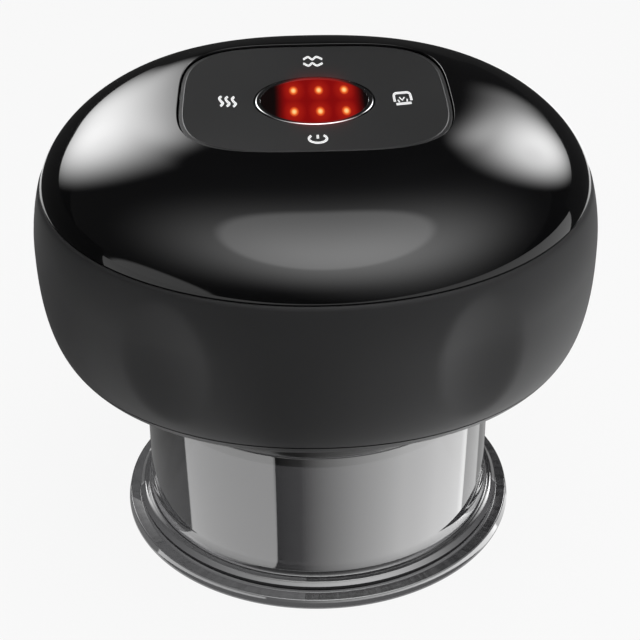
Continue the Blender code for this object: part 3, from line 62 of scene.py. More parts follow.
# Outside of the head, as a stack of rounded squares
HEAD_RADIUS = 0.0480
WIDEST_HEIGHT = 0.0560
SEAM_RADIUS = 0.04615
SEAM_HEIGHT = 0.0667
SEAM_GAP = 0.0003
SHELL_STEP = 0.0003
SHELL_WALL = 0.0022
UNDERSIDE_RADIUS = 0.0383
UNDERSIDE_HEIGHT = 0.03775
HIP_POWER = 3.55
HEEL_POWER = 2.29
PARTING_ANGLE = math.radians(53)
PARTING_SAMPLE = 0.1
CROWN_HEIGHT = 0.0810
CROWN_REACH = 0.0463
CROWN_POWER = 3.0
CROWN_ROUND = 1.8
CROWN_SQUARENESS = 2.63
CROWN_BLEND = 3
RIM_SQUARENESS = 2.04
HEEL_SQUARENESS = 2.13
COVER_WALL = 0.0021
TONGUE_WALL = 0.0014
TONGUE_DEPTH = 0.0018
EDGE_ROUND = 0.00025

# Rings of the shells, and where the rings inside the cover lie between its pocket and its rim
CROWN_STEPS = 44
CROWN_INSIDE_SHARES = (0.9, 0.8, 0.7, 0.5, 0.35, 0.15)
FLANK_STEPS = 16
HEEL_STEPS = 30
HEEL_CROWDING = 1.6
INSIDE_SKIP = 4
UNDERSIDE_STEPS = 24
PANEL_STEPS = 16

# Finger recesses
RECESS_COUNT = 6
RECESS_WIDTH = 0.0158
RECESS_LENGTH = 0.0216
RECESS_DEPTH = 0.0016
RECESS_HEIGHT = 0.0540
RECESS_EDGE_POWER = 1.25

# Control panel and its pocket
PANEL_HALF = 0.0222
PANEL_SQUARENESS = 3.6
PANEL_EDGE_HEIGHT = 0.0798
PANEL_DISH = 0.0012
PANEL_UNDERSIDE = 0.0775
PANEL_CHAMFER = 0.0007
PANEL_CHAMFER_DROP = 0.00012
PANEL_STEP = 0.00015
PANEL_STEP_DROP = 0.00008
PANEL_ROUND = 0.00012
PANEL_SMOOTH_ANGLE = math.radians(18)
PANEL_GAP = 0.00024
PANEL_FLAT = PANEL_HALF - PANEL_CHAMFER
POCKET_HALF = PANEL_HALF + PANEL_GAP
POCKET_ROUND = 0.00008
POCKET_BRIM_END = 105
POCKET_FLOOR = 0.0759
POCKET_CEILING = 0.0744
POCKET_WALL = 0.0020
KEY_COUNT = 4
KEY_RADIUS = 0.0149
POST_RADIUS = 0.0012
POST_HOLE_RADIUS = 0.0024
POST_TIP = 0.07525
BOARD_SEAT = 0.0724
BOSS_PLACE = 0.0250
BOSS_RADIUS = 0.0020

# Display in the middle of the panel, and the signs round it
DISPLAY_RADIUS = 0.0098
DISPLAY_PLAY = 0.0003
PANEL_HOLE = DISPLAY_RADIUS + DISPLAY_PLAY
EYE_RADIUS = 0.0088
DISPLAY_WALL = 0.0008
DISPLAY_TOP = 0.07894
DISPLAY_ROUND = 0.00025
DISPLAY_SLOPE = 0.00004
DISPLAY_LEDGE = 0.0006
WINDOW_TOP = 0.07884
WINDOW_THICKNESS = 0.0006
WINDOW_BEVEL = 0.00005
WINDOW_GAP = 0.00004
ICON_UNIT = 0.001
ICON_STROKE = 0.00039
ICON_MARK_STROKE = 0.000234
ICON_WAVE_STROKE = 0.0003315
ICON_STRETCH = 2.53
ICON_INK = 0.00003
ICON_LINE_STEPS = 5
ICON_END_STEPS = 4
RING_SEARCH_STEPS = 8
HEAT_PLACE = (-0.01434, -0.0005)
SUCTION_PLACE = (0.01455, -0.00044)
MASSAGE_PLACE = (0.00021, 0.01611)
POWER_PLACE = (0.00008, -0.01606)

# Collar, underside and what closes them
COLLAR_BOTTOM = 0.0290
COLLAR_BORE = 0.0292
COLLAR_RADIUS = 0.0320
COLLAR_ROUND = 0.0006
COLLAR_SLEEVE = 0.0020
COLLAR_FLANGE_RADIUS = 0.0346
COLLAR_FLANGE_THICKNESS = 0.0016
COLLAR_HOLE = 0.0323
GROOVE_RADIUS = 0.0306
GROOVE_HEIGHT = 0.0026
GROOVE_RISE = 0.0034
SEAL_CLEARANCE = 0.00025
SEAL_ROUND = 0.0004
CEILING_HEIGHT = 0.0434
CEILING_TOP = 0.0450
CHAMBER_RADIUS = 0.0067
CHAMBER_WALL = 0.0015
CHAMBER_DEPTH = 0.0034
CHAMBER_OUTER = CHAMBER_RADIUS + CHAMBER_WALL
CHAMBER_LOW = CEILING_HEIGHT - CHAMBER_DEPTH
NOZZLE_RADIUS = 0.0016
NOZZLE_BORE = 0.0009
NOZZLE_LENGTH = 0.0029
AIR_LINE_Y = -0.0043
BASE_WALL = 0.0020
BASE_TOP = 0.03975
BASE_BOSS_RADIUS = 0.0030
LIP_WALL = 0.0012
LIP_GAP = 0.0006
LIP_HEIGHT = 0.0024
CHASSIS_UNDERSIDE = 0.0456
PLATE_UNDERSIDE = 0.0399
PLATE_THICKNESS = 0.0014
PLATE_ROUND = 0.0004
PLATE_EYE_GAP = 0.0006
LAMP_RING_WIDTH = 0.0054
CAP_RADIUS = 0.0080
CAP_THICKNESS = 0.0008
CAP_ROUND = 0.0003
CAP_SKIRT_WALL = 0.0010
CAP_SKIRT_HEIGHT = 0.0013
AIR_HOLE_RADIUS = 0.0009
AIR_HOLE_COUNT = 5
AIR_HOLE_PLACE = 0.0031
SCREW_COUNT = 4
SCREW_CIRCLE = 0.0382
SCREW_RADIUS = 0.00125
SCREW_LENGTH = 0.0094
SCREW_HEAD_RADIUS = 0.0021
SCREW_HEAD_HEIGHT = 0.0012
SCREW_RECESS = 0.0002
SCREW_HEAD_LOW = UNDERSIDE_HEIGHT + SCREW_RECESS
SCREW_SLOT_LENGTH = 0.0024
SCREW_SLOT_WIDTH = 0.0005

# Charging port at the back
PORT_LEVEL = 0.0530
PORT_MOUTH = 0.0469
PORT_WIDTH = 0.0090
PORT_HEIGHT = 0.0032
PORT_WALL = 0.00035
PORT_LENGTH = 0.0077
PORT_DEPTH = 0.0062
PORT_TONGUE_WIDTH = 0.0067
PORT_TONGUE_HEIGHT = 0.0007
PORT_TONGUE_LENGTH = 0.0048
PORT_TONGUE_BEVEL = 0.00014
PORT_TONGUE_BEVEL_STEPS = 3
PORT_OPENING_MARGIN = 0.0005

# Cup, from its rim up. The bead's shoulder is given outward and up from the bead's top edge, and the rim's
# leaning edge holds a point near each end
CUP_WALL = 0.0311
CUP_THICKNESS = 0.0025
CUP_MOUTH_ROUND = 0.0007
RIM_RADIUS = 0.0358
RIM_THICKNESS = 0.00173
RIM_ROUND = 0.0003
RIM_FOOT_ROUND = 0.00015
RIM_LEAN = 12.5
RIM_HOLD_SHARES = (0.06, 0.94)
BEAD_RADIUS = 0.0334
BEAD_HEIGHT = 0.0020
BEAD_TOP = RIM_THICKNESS + BEAD_HEIGHT
BEAD_SHOULDER = (
    (0, -0.00080), (-0.00005, -0.00075), (-0.00057, -0.00023), (-0.00062, -0.00018), (-0.00120, 0),
)
FLARE_WIDTH = 0.0010
FLARE_HEIGHT = 0.0024
SHOULDER_HEIGHT = 0.0287
SHOULDER_ROUND = 0.0006
NECK_RADIUS = 0.0289
NECK_WALL = 0.0020
NECK_TOP = 0.0380
NECK_ROUND = 0.0004
NECK_TAPER = 0.0020
NECK_TAPER_DROP = 0.0032
NECK_TAPER_TURN = 40
NECK_TAPER_STEPS = 4

# Camera, fitted to the outline
LENS = 0.0890
SENSOR = 0.0360
CAMERA_DISTANCE = 0.2428
CAMERA_HEIGHT = 0.1827
CAMERA_PITCH = math.radians(58.93)
CAMERA_YAW = math.radians(-1.5)
CAMERA_ROLL = math.radians(-0.55)
CAMERA_SHIFT = 0.0055
CAMERA_NEAREST = 0.01
MILLIMETRES = 1000

# Studio: what stands round the object. The overhead box fades from these edges to these places inside them
PALE = (0.980, 0.980, 0.980)
FLOOR_RADIUS = 6
FLOOR_SIDES = 64
FLOOR_CLOTH = (0.85, 0.85, 0.85)
FLOOR_SHADOW_SHARE = 0.06
WORLD_LEVEL = (0.02, 0.02, 0.02)
LIGHT_AIM = Vector((0, 0, 0.075))
FILL_DISTANCE = 0.62
FILL_AZIMUTH = 105
FILL_ELEVATION = 8
FILL_SIZE = (0.50, 0.40)
FILL_STRENGTH = 1.5
OVERHEAD_SIDES = 96
OVERHEAD_PLACE = (0.100, -0.16, 0.675)
OVERHEAD_SIZE = (0.585, 0.63)
OVERHEAD_STRENGTH = 3.4
OVERHEAD_FADES = (("X", 0.5, 0.35), ("Y", -0.5, -0.05))
FLAG_SIDES = 180
WALL_FLAG = {"radius": 0.22, "low": 0, "high": 0.089, "start": -98, "end": 72, "level": 0.03}
FOOT_FLAG = {"radius": 0.060, "low": 0.003, "high": 0.036, "start": -62, "end": 62, "level": 0.002}
MAT_START = 0.0362
MAT_END = 0.0392
MAT_HEIGHT = 0.0002
MAT_LEVEL = 0.002
GLOSS_ONLY = ("camera", "diffuse", "transmission", "shadow")
MATT_ONLY = ("camera", "glossy", "shadow")

# The light tent: azimuth and elevation of each soft patch in degrees, its half width, half height and
# softness as shares of the tent's radius, and its brightness
TENT_RADIUS = 2
TENT_SIDES = 64
TENT_LEVEL = 0.02
TENT_PATCHES = (
    (-28, 20, 0.22, 0.24, 0.88, 6.3),
    (37.5, 22.5, 0.21, 0.23, 0.73, 6.4),
    (166, 78.4, 0.42, 0.43, 0.08, 1.3),
    (180, 68, 0.50, 0.40, 1.0, 2.3),
    (135, 50, 0.44, 0.50, 1.0, 1.6),
    (-170, 62, 0.68, 0.55, 1.0, 0.2),
    (-118, -7.8, 0.41, 0.34, 0.08, 0.95),
)

# The printed card: how bright it is where the cup's wall faces these directions, in degrees from the front
CARD_COLUMNS = 160
CARD_REACH = math.radians(80)
CARD_NEAR = 0.0071
CARD_FAR = 0.14
CARD_HEIGHT = 0.0004
CARD_STRENGTH = 4.0
CARD_STOPS = (
    (-80, 0.05), (-47.4, 0.05), (-47.0, 0.40), (-14.9, 0.42), (-14.5, 0.01), (-7, 0.04), (0, 0.20),
    (10, 0.40), (25, 0.65), (38, 0.68), (50, 0.58), (53, 0.70), (53.6, 0.27), (64, 0.25), (64.5, 0.10),
    (74, 0.10),
)

# Light of the display's lamps on its lens: its colour by the distance from a lamp, as a share of its reach
LAMPS_X = 0.00085
LAMPS_Y = -0.0002
LAMP_COLUMN_PITCH = 0.00425
LAMP_ROW_PITCH = 0.00875
LAMP_REACH = 0.0045
LAMP_FIELD = 0.0064
LAMP_FIELD_SOFT = 0.0012
LAMP_STOPS = (
    (0.0, (1.0, 0.75, 0.38)), (0.06, (1.0, 0.52, 0.16)), (0.11, (0.85, 0.12, 0.02)),
    (0.18, (0.35, 0.008, 0.003)), (0.45, (0.23, 0.001, 0.001)),
)
LAMP_FAR = (0.15, 0.0, 0.0)
SPILL_REACH = 0.0014
SPILL_FIELD = LAMP_FIELD / 3
SPILL_COLOUR = (1.0, 0.03, 0.02)

# Where the cup's dark foot ends and its clear wall starts, and where its polished bead and rim lie
FOOT_VALUES = {"Start": 0.0036, "End": 0.0050, "Bead low": 0.0028, "Bead high": 0.0038, "Rim start": 0.0352}
FOOT_SHARE = 0.35

# Shared effects: clouds to a metre, the middle level of their noise, and where a track ends beside its gap
SKIN_CLOUDS = 55.0
METAL_CLOUDS = 260.0
METAL_STREAKS = 0.5
METAL_LINES_STRETCH = (0.03, 1, 1)
TRACK_CLOUDS = 400.0
TRACK_CLOUDING = 0.1
TRACK_EDGES = (0.25, 0.55)
CLOUD_DETAIL = 3.0
GRAIN_DETAIL = 2.0
FIBRE_DETAIL = 6.0
NOISE_MIDDLE = 0.5
FIBRE_MIDDLE = 0.7

# Finishes by material slot: name, shared effect, colour, roughness, depth of the relief, the effect's own
# values and the shader's
CLEAR = {"Transmission Weight": 1.0, "IOR": 1.6, "Coat Weight": 1.0, "Coat Roughness": 0.01, "Coat IOR": 1.8}
METALLIC = {"Metallic": 1.0}
RED_CLEAR = {"Transmission Weight": 0.8, "IOR": 1.49}
MILKY = {"Subsurface Weight": 0.3, "Subsurface Scale": 0.001}
DULL = {"Specular IOR Level": 0.28}
DULLER = {"Specular IOR Level": 0.16}
BACKLIT = {"Emission Color": (1, 1, 1, 1), "Emission Strength": 0.4}
BOARD_TRACKS = {"Gap colour": (0.008, 0.075, 0.03, 1), "Rows": 900.0, "Wander": 14.0}
COIL_TURNS = {"Gap colour": (0.10, 0.03, 0.012, 1), "Rows": 1100.0}
HEATER_TRACKS = {"Gap colour": (0.42, 0.15, 0.02, 1), "Rows": 380.0}
FINISHES = {
    "smoked_cup": ("smoked cup", "skin", (0.035, 0.035, 0.037), 0.015, 0,
                   {"Grain": 300.0, "Cloud": 0.1, "Rub": 0.01}, CLEAR),
    "seal_rubber": ("seal rubber", "skin", (0.08, 0.08, 0.08), 0.7, 0.00002, {"Cloud": 0.3}),
    "gloss_cover": ("piano black", "skin", (0.0035, 0.0035, 0.004), 0.045, 0, {"Cloud": 0.2, "Rub": 0.02}),
    "matt_shell": ("soft touch grip", "skin", (0.036, 0.036, 0.037), 0.52, 0.000004,
                   {"Grain": 7000.0, "Cloud": 0.12, "Rub": 0.05}, DULLER),
    "matt_base": ("matt underside", "skin", (0.026, 0.026, 0.027), 0.5, 0.000006,
                  {"Grain": 5000.0, "Cloud": 0.15, "Rub": 0.06}, DULL),
    "collar_plastic": ("collar black", "skin", (0.018, 0.018, 0.019), 0.18, 0, {"Cloud": 0.2, "Rub": 0.05}),
    "inner_nylon": ("natural nylon", "skin", (0.72, 0.71, 0.68), 0.45, 0.00001, {"Cloud": 0.08}),
    "display_chrome": ("dark bright ring", "metal", (0.55, 0.55, 0.56), 0.09, 0, {"Dulling": 0.04}, METALLIC),
    "display_window": ("lit lens", "skin", (0.006, 0.001, 0.001), 0.06, 0, {"Cloud": 0.2, "Rub": 0.02}),
    "inner_black": ("inner black", "skin", (0.028, 0.028, 0.028), 0.5, 0.000008, {"Cloud": 0.15}),
    "red_lamp": ("clear red", "skin", (0.7, 0.03, 0.02), 0.08, 0, {"Cloud": 0.1, "Rub": 0.03}, RED_CLEAR),
    "circuit_board": ("circuit board", "tracks", (0.02, 0.20, 0.07), 0.4, 0.00002, BOARD_TRACKS),
    "cell_wrap": ("cell wrap", "skin", (0.04, 0.14, 0.42), 0.32, 0.000004, {"Cloud": 0.12, "Rub": 0.12}),
    "lead": ("red lead", "skin", (0.5, 0.025, 0.025), 0.45, 0.00001, {"Cloud": 0.15}),
    "plated_steel": ("plated steel", "metal", (0.62, 0.62, 0.61), 0.28, 0.000003, {}, METALLIC),
    "red_silicone": ("red silicone", "skin", (0.45, 0.07, 0.04), 0.6, 0.00001, {"Cloud": 0.15}),
    "copper_winding": ("copper winding", "tracks", (0.62, 0.25, 0.10), 0.35, 0.0001, COIL_TURNS, METALLIC),
    "tube_silicone": ("milky silicone", "skin", (0.62, 0.62, 0.60), 0.4, 0.000005, {}, MILKY),
    "warming_plate": ("turned aluminium", "metal", (0.72, 0.72, 0.73), 0.3, 0.000002,
                      {"Dulling": 0.2}, METALLIC),
    "heater_film": ("heater film", "tracks", (0.70, 0.32, 0.05), 0.35, 0.00001, HEATER_TRACKS),
    "felt": ("white felt", "fibres", (0.70, 0.68, 0.62), 0.95, 0.0001),
    "panel_plastic": ("satin panel", "skin", (0.0135, 0.0135, 0.0139), 0.42, 0.000002,
                      {"Grain": 9000.0, "Cloud": 0.1, "Rub": 0.04}, DULL),
    "icon_ink": ("icon ink", "skin", (0.85, 0.85, 0.85), 0.45, 0, {"Cloud": 0.08}, BACKLIT),
    "port_tongue": ("port tongue", "skin", (0.02, 0.02, 0.02), 0.4, 0, {"Cloud": 0.2}),
}
LIT_FINISHES = {
    "display_chrome": {"Dots": 0.0, "Spill": 0.12},
    "display_window": {"Dots": 1.0, "Spill": 0.0},
    "panel_plastic": {"Dots": 0.0, "Spill": 0.05},
}


def set_mode(mode):
    bpy.ops.object.mode_set(mode=mode)


def pick(*pieces):
    """Selects these pieces and nothing else, with the first one active."""
    if bpy.context.mode != "OBJECT":
        set_mode("OBJECT")
    bpy.ops.object.select_all(action="DESELECT")
    for piece in pieces:
        piece.select_set(True)
    if pieces:
        bpy.context.view_layer.objects.active = pieces[0]


def begin(add, **values):
    """Adds a primitive by its operator, with nothing else selected."""
    pick()
    add(**values)
    return bpy.context.object


def pick_points(action="SELECT"):
    """Goes into edit mode and selects every point, or none."""
    set_mode("EDIT")
    bpy.ops.mesh.select_all(action=action)


def extrude(step):
    bpy.ops.mesh.extrude_region_move(TRANSFORM_OT_translate={"value": step})


def take(name, piece):
    """Names a piece just modelled, and leaves edit mode."""
    set_mode("OBJECT")
    piece.name = name
    piece.data.name = name
    return piece


def close_up(name, piece):
    """Merges a piece's doubled points, turns its faces outwards and names it."""
    pick_points()
    bpy.ops.mesh.remove_doubles(threshold=WELD)
    bpy.ops.mesh.normals_make_consistent(inside=False)
    return take(name, piece)


def settle(piece):
    """Puts a piece's origin at the world's, with its place in its mesh."""
    pick(piece)
    bpy.ops.object.transform_apply(location=True, rotation=True, scale=True)


def smooth(piece, angle=SMOOTH_ANGLE):
    pick(piece)
    bpy.ops.object.shade_smooth_by_angle(angle=angle)
    return piece


def apply_modifiers(piece):
    pick(piece)
    for modifier in list(piece.modifiers):
        bpy.ops.object.modifier_apply(modifier=modifier.name)


def combine(piece, tools, operation):
    """Cuts tools from a piece or joins them on, and removes them."""
    for tool in tools:
        modifier = piece.modifiers.new("Boolean", "BOOLEAN")
        modifier.operation = operation
        modifier.solver = "EXACT"
        modifier.object = tool
    apply_modifiers(piece)
    for tool in tools:
        bpy.data.objects.remove(tool)


def arc(centre, radii, start, end, steps):
    """Points of an arc in a profile, as (outward, upward), with angles in degrees and one radius or two."""
    across, up = radii if isinstance(radii, tuple) else (radii, radii)
    angles = [math.radians(start + (end - start) * step / steps) for step in range(steps + 1)]
    return [(centre[0] + across * math.cos(angle), centre[1] + up * math.sin(angle)) for angle in angles]


def corner(point, radius, start, end, steps=ROUND_STEPS):
    """A quarter round in a profile, in place of its sharp corner."""
    first, last = math.radians(start), math.radians(end)
    inward = radius * (math.cos(first) + math.cos(last))
    down = radius * (math.sin(first) + math.sin(last))
    return arc((point[0] - inward, point[1] - down), radius, start, end, steps)


def spun(name, profile, sides, centre=(0, 0, 0)):
    """Draws a profile of (radius, height) points, one extruded point after another, and spins it round."""
    piece = begin(bpy.ops.mesh.primitive_plane_add, size=1)
    pick_points()
    bpy.ops.mesh.merge(type="CENTER")
    radius, height = profile[0]
    bpy.ops.transform.translate(value=(radius, 0, height))
    for before, after in zip(profile, profile[1:]):
        extrude((after[0] - before[0], 0, after[1] - before[1]))
    if profile[0][0] > 0:
        set_mode("OBJECT")
        piece.data.vertices[0].select = True
        set_mode("EDIT")
        bpy.ops.mesh.edge_face_add()
    pick_points()
    bpy.ops.mesh.spin(steps=sides, angle=2 * math.pi, center=(0, 0, 0), axis=(0, 0, 1))
    close_up(name, piece)
    piece.location = centre
    settle(piece)
    return smooth(piece)


def rods(name, radius, low, high, centres):
    """Plain upright rods, to join to a shell or to cut from it."""
    profile = [(0, low), (radius, low), (radius, high), (0, high)]
    return [spun(f"{name}_{number}", profile, SMALL_SIDES, centre) for number, centre in enumerate(centres)]


def spread(count, radius, start=0):
    """Places spread evenly on a circle."""
    angles = [start + 2 * math.pi * number / count for number in range(count)]
    return [(radius * math.cos(angle), radius * math.sin(angle), 0) for angle in angles]


def block(name, size, centre, turn=0):
    """A plain block, turned about its own upright axis."""
    piece = take(name, begin(bpy.ops.mesh.primitive_cube_add, size=1))
    turned = Matrix.Translation(centre) @ Matrix.Rotation(turn, 4, "Z")
    piece.matrix_world = turned @ Matrix.Diagonal((*size, 1))
    settle(piece)
    return piece


def square_point(radius, height, squareness, angle):
    """A point of a level ring between a circle, at squareness 2, and a rounded square."""
    across, along = math.cos(angle), math.sin(angle)
    reach = radius / (abs(across) ** squareness + abs(along) ** squareness) ** (1 / squareness)
    return Vector((across * reach, along * reach, height))


def rings_of(points, squareness):
    """Level rings of one squareness through the points of a profile."""
    return [(radius, height, squareness) for radius, height in points]


def ringed(name, rings, sides, press=None):
    """Extrudes a circle once for each ring, bridges the last to the first and shapes every ring."""
    piece = begin(bpy.ops.mesh.primitive_circle_add, vertices=sides, radius=1, fill_type="NOTHING")
    pick_points()
    for _ in rings[1:]:
        extrude((0, 0, 1))
    set_mode("OBJECT")
    ends = ({0}, {len(rings) - 1})
    for edge in piece.data.edges:
        edge.select = {round(piece.data.vertices[end].co.z) for end in edge.vertices} in ends
    set_mode("EDIT")
    bpy.ops.mesh.select_mode(type="EDGE")
    bpy.ops.mesh.bridge_edge_loops()
    bpy.ops.mesh.select_mode(type="VERT")
    set_mode("OBJECT")
    for vertex in piece.data.vertices:
        point = square_point(*rings[round(vertex.co.z)], math.atan2(vertex.co.y, vertex.co.x))
        vertex.co = press(point) if press else point
    return smooth(close_up(name, piece))


def dome_height(radius):
    """Height of the cover's crown at a radius. Below the seam's radius it closes like a flattened ball."""
    def bulge(reach):
        return (1 - (reach / CROWN_REACH) ** CROWN_POWER) ** (1 / CROWN_ROUND)
    low = bulge(SEAM_RADIUS)
    share = (bulge(radius) - low) / (1 - low)
    return SEAM_HEIGHT + (CROWN_HEIGHT - SEAM_HEIGHT) * share


def dome_squareness(radius):
    """The crown goes from the panel's rounded square to nearly a circle at the seam."""
    share = (radius - POCKET_HALF) / (SEAM_RADIUS - POCKET_HALF)
    plain = CROWN_SQUARENESS + (RIM_SQUARENESS - CROWN_SQUARENESS) * share
    return plain + (PANEL_SQUARENESS - plain) * max(0, 1 - CROWN_BLEND * share) ** 2


def heel(angle):
    """The head's outside below its widest ring: 0 there, and a quarter turn at the flat underside."""
    inward = math.cos(angle) ** (2 / HIP_POWER) if angle < math.pi / 2 else 0
    radius = UNDERSIDE_RADIUS + (HEAD_RADIUS - UNDERSIDE_RADIUS) * inward
    return radius, WIDEST_HEIGHT - (WIDEST_HEIGHT - UNDERSIDE_HEIGHT) * math.sin(angle) ** (2 / HEEL_POWER)


def heel_ring(radius, height):
    """A ring of the shells' outside or inside, squarer towards the underside."""
    share = min(max((WIDEST_HEIGHT - height) / (WIDEST_HEIGHT - UNDERSIDE_HEIGHT), 0), 1)
    return radius, height, RIM_SQUARENESS + (HEEL_SQUARENESS - RIM_SQUARENESS) * share


def flank(share):
    """The matt shell's outside, from the seam at 0 to the widest ring at 1."""
    rim = SEAM_RADIUS + SHELL_STEP
    top = SEAM_HEIGHT - SEAM_GAP
    return HEAD_RADIUS - (HEAD_RADIUS - rim) * (1 - share) ** 2, top + (WIDEST_HEIGHT - top) * share


def offset(points, wall):
    """Moves a profile sideways by a wall's thickness: to its left, going along it."""
    moved = []
    for number, (radius, height) in enumerate(points):
        before = Vector(points[max(number - 1, 0)])
        after = Vector(points[min(number + 1, len(points) - 1)])
        along = (after - before).normalized()
        moved.append((radius - along.y * wall, height + along.x * wall))
    return moved


def press_recesses(point):
    """Presses the finger recesses into the outside of the grip, as soft ovals."""
    x, y, z = point
    radius, azimuth = math.hypot(x, y), math.atan2(y, x)
    if radius < HEAD_RADIUS - SHELL_WALL:
        return point
    pitch = 2 * math.pi / RECESS_COUNT
    off_centre = (azimuth + pitch / 2) % pitch - pitch / 2
    across = radius * off_centre / (RECESS_WIDTH / 2)
    up = (z - RECESS_HEIGHT) / (RECESS_LENGTH / 2)
    share = max(0, 1 - across ** 2 - up ** 2)
    inward = 1 - RECESS_DEPTH * share ** RECESS_EDGE_POWER / radius
    return Vector((x * inward, y * inward, z))


def panel_height(radius):
    return PANEL_EDGE_HEIGHT - PANEL_DISH * (1 - (radius / PANEL_HALF) ** 2)


def panel_squareness(share):
    """The panel's rings go from the display's circle at 0 to its own outline at 1."""
    return 2 + (PANEL_SQUARENESS - 2) * share


def panel_radius(x, y):
    """Which ring of the panel a point lies on."""
    radius = math.hypot(x, y)
    for _ in range(RING_SEARCH_STEPS):
        power = panel_squareness(min(max((radius - PANEL_HOLE) / (PANEL_FLAT - PANEL_HOLE), 0), 1))
        radius = (abs(x) ** power + abs(y) ** power) ** (1 / power)
    return radius


def make_crown():
    """The gloss cover with the panel's pocket in it."""
    brink = POCKET_HALF + POCKET_ROUND
    turns = [step / CROWN_STEPS * math.pi / 2 for step in range(CROWN_STEPS + 1)]
    radii = [brink + (SEAM_RADIUS - brink) * math.sin(turn) for turn in turns]
    radii.insert(1, brink + POCKET_ROUND)
    rings = [(radius, dome_height(radius), dome_squareness(radius)) for radius in radii]
    tongue = SEAM_RADIUS + SHELL_STEP - SHELL_WALL - SEAM_GAP
    tongue_low = SEAM_HEIGHT - TONGUE_DEPTH
    tongue_points = [(tongue, SEAM_HEIGHT), (tongue, tongue_low), (tongue - TONGUE_WALL, tongue_low)]
    rings += rings_of(tongue_points, RIM_SQUARENESS)
    wall = POCKET_HALF + POCKET_WALL
    for share in CROWN_INSIDE_SHARES:
        radius = wall + (SEAM_RADIUS - COVER_WALL - wall) * share
        rings.append((radius, dome_height(radius + COVER_WALL / 2) - COVER_WALL, dome_squareness(radius)))
    rings += rings_of([(wall, dome_height(wall) - COVER_WALL), (wall, POCKET_CEILING)], PANEL_SQUARENESS)
    rings += rings_of([(EYE_RADIUS, POCKET_CEILING), (EYE_RADIUS, POCKET_FLOOR)], 2)
    brim = arc((brink, dome_height(brink) - POCKET_ROUND), POCKET_ROUND, 180, POCKET_BRIM_END, ROUND_STEPS)
    rings += rings_of([(POCKET_HALF, POCKET_FLOOR)] + brim, PANEL_SQUARENESS)
    cover = ringed("crown_cover", rings, HEAD_SIDES)
    holes = rods("hole", POST_HOLE_RADIUS, POCKET_CEILING - COVER_WALL, POCKET_FLOOR + COVER_WALL,
                 spread(KEY_COUNT, KEY_RADIUS))
    bosses = rods("boss", BOSS_RADIUS, BOARD_SEAT, POCKET_CEILING + SHELL_STEP,
                  spread(KEY_COUNT, BOSS_PLACE, math.pi / KEY_COUNT))
    combine(cover, holes, "DIFFERENCE")
    combine(cover, bosses, "UNION")
    return smooth(cover)


def make_grip():
    """The matt shell with its finger recesses and the charging slot."""
    outer = [flank(step / FLANK_STEPS) for step in range(FLANK_STEPS)]
    rim, top = outer[0]
    outer[0] = (rim, top - EDGE_ROUND)
    outer += [heel(PARTING_ANGLE * (step / HEEL_STEPS) ** HEEL_CROWDING) for step in range(HEEL_STEPS + 1)]
    inner = offset(outer, -SHELL_WALL)[::-INSIDE_SKIP]
    points = [(rim - EDGE_ROUND, top)] + outer + inner[:-1] + [(inner[-1][0], top)]
    grip = ringed("grip_shell", [heel_ring(*point) for point in points], GRIP_SIDES, press_recesses)
    play = 2 * PORT_OPENING_MARGIN
    opening = slot_block("port_opening", PORT_WIDTH + play, PORT_HEIGHT + play, HEAD_RADIUS - 2 * SHELL_WALL,
                         HEAD_RADIUS + SHELL_WALL)
    combine(grip, [opening], "DIFFERENCE")
    return smooth(grip)


def make_panel():
    """The dished control panel, with the posts that press its four switches."""
    rings = []
    for step in range(PANEL_STEPS + 1):
        share = step / PANEL_STEPS
        radius = PANEL_HOLE + (PANEL_FLAT - PANEL_HOLE) * share
        rings.append((radius, panel_height(radius), panel_squareness(share)))
    edge = panel_height(PANEL_FLAT)
    points = [(PANEL_FLAT + PANEL_STEP, edge - PANEL_STEP_DROP)]
    points += corner((PANEL_HALF, edge - PANEL_CHAMFER_DROP), PANEL_ROUND, 90, 0)
    points += [(PANEL_HALF, PANEL_UNDERSIDE)]
    rings += rings_of(points, PANEL_SQUARENESS) + [(PANEL_HOLE, PANEL_UNDERSIDE, 2)]
    panel = ringed("key_panel", rings, HEAD_SIDES)
    posts = rods("post", POST_RADIUS, POST_TIP, PANEL_UNDERSIDE + SHELL_STEP, spread(KEY_COUNT, KEY_RADIUS))
    combine(panel, posts, "UNION")
    return smooth(panel, PANEL_SMOOTH_ANGLE)


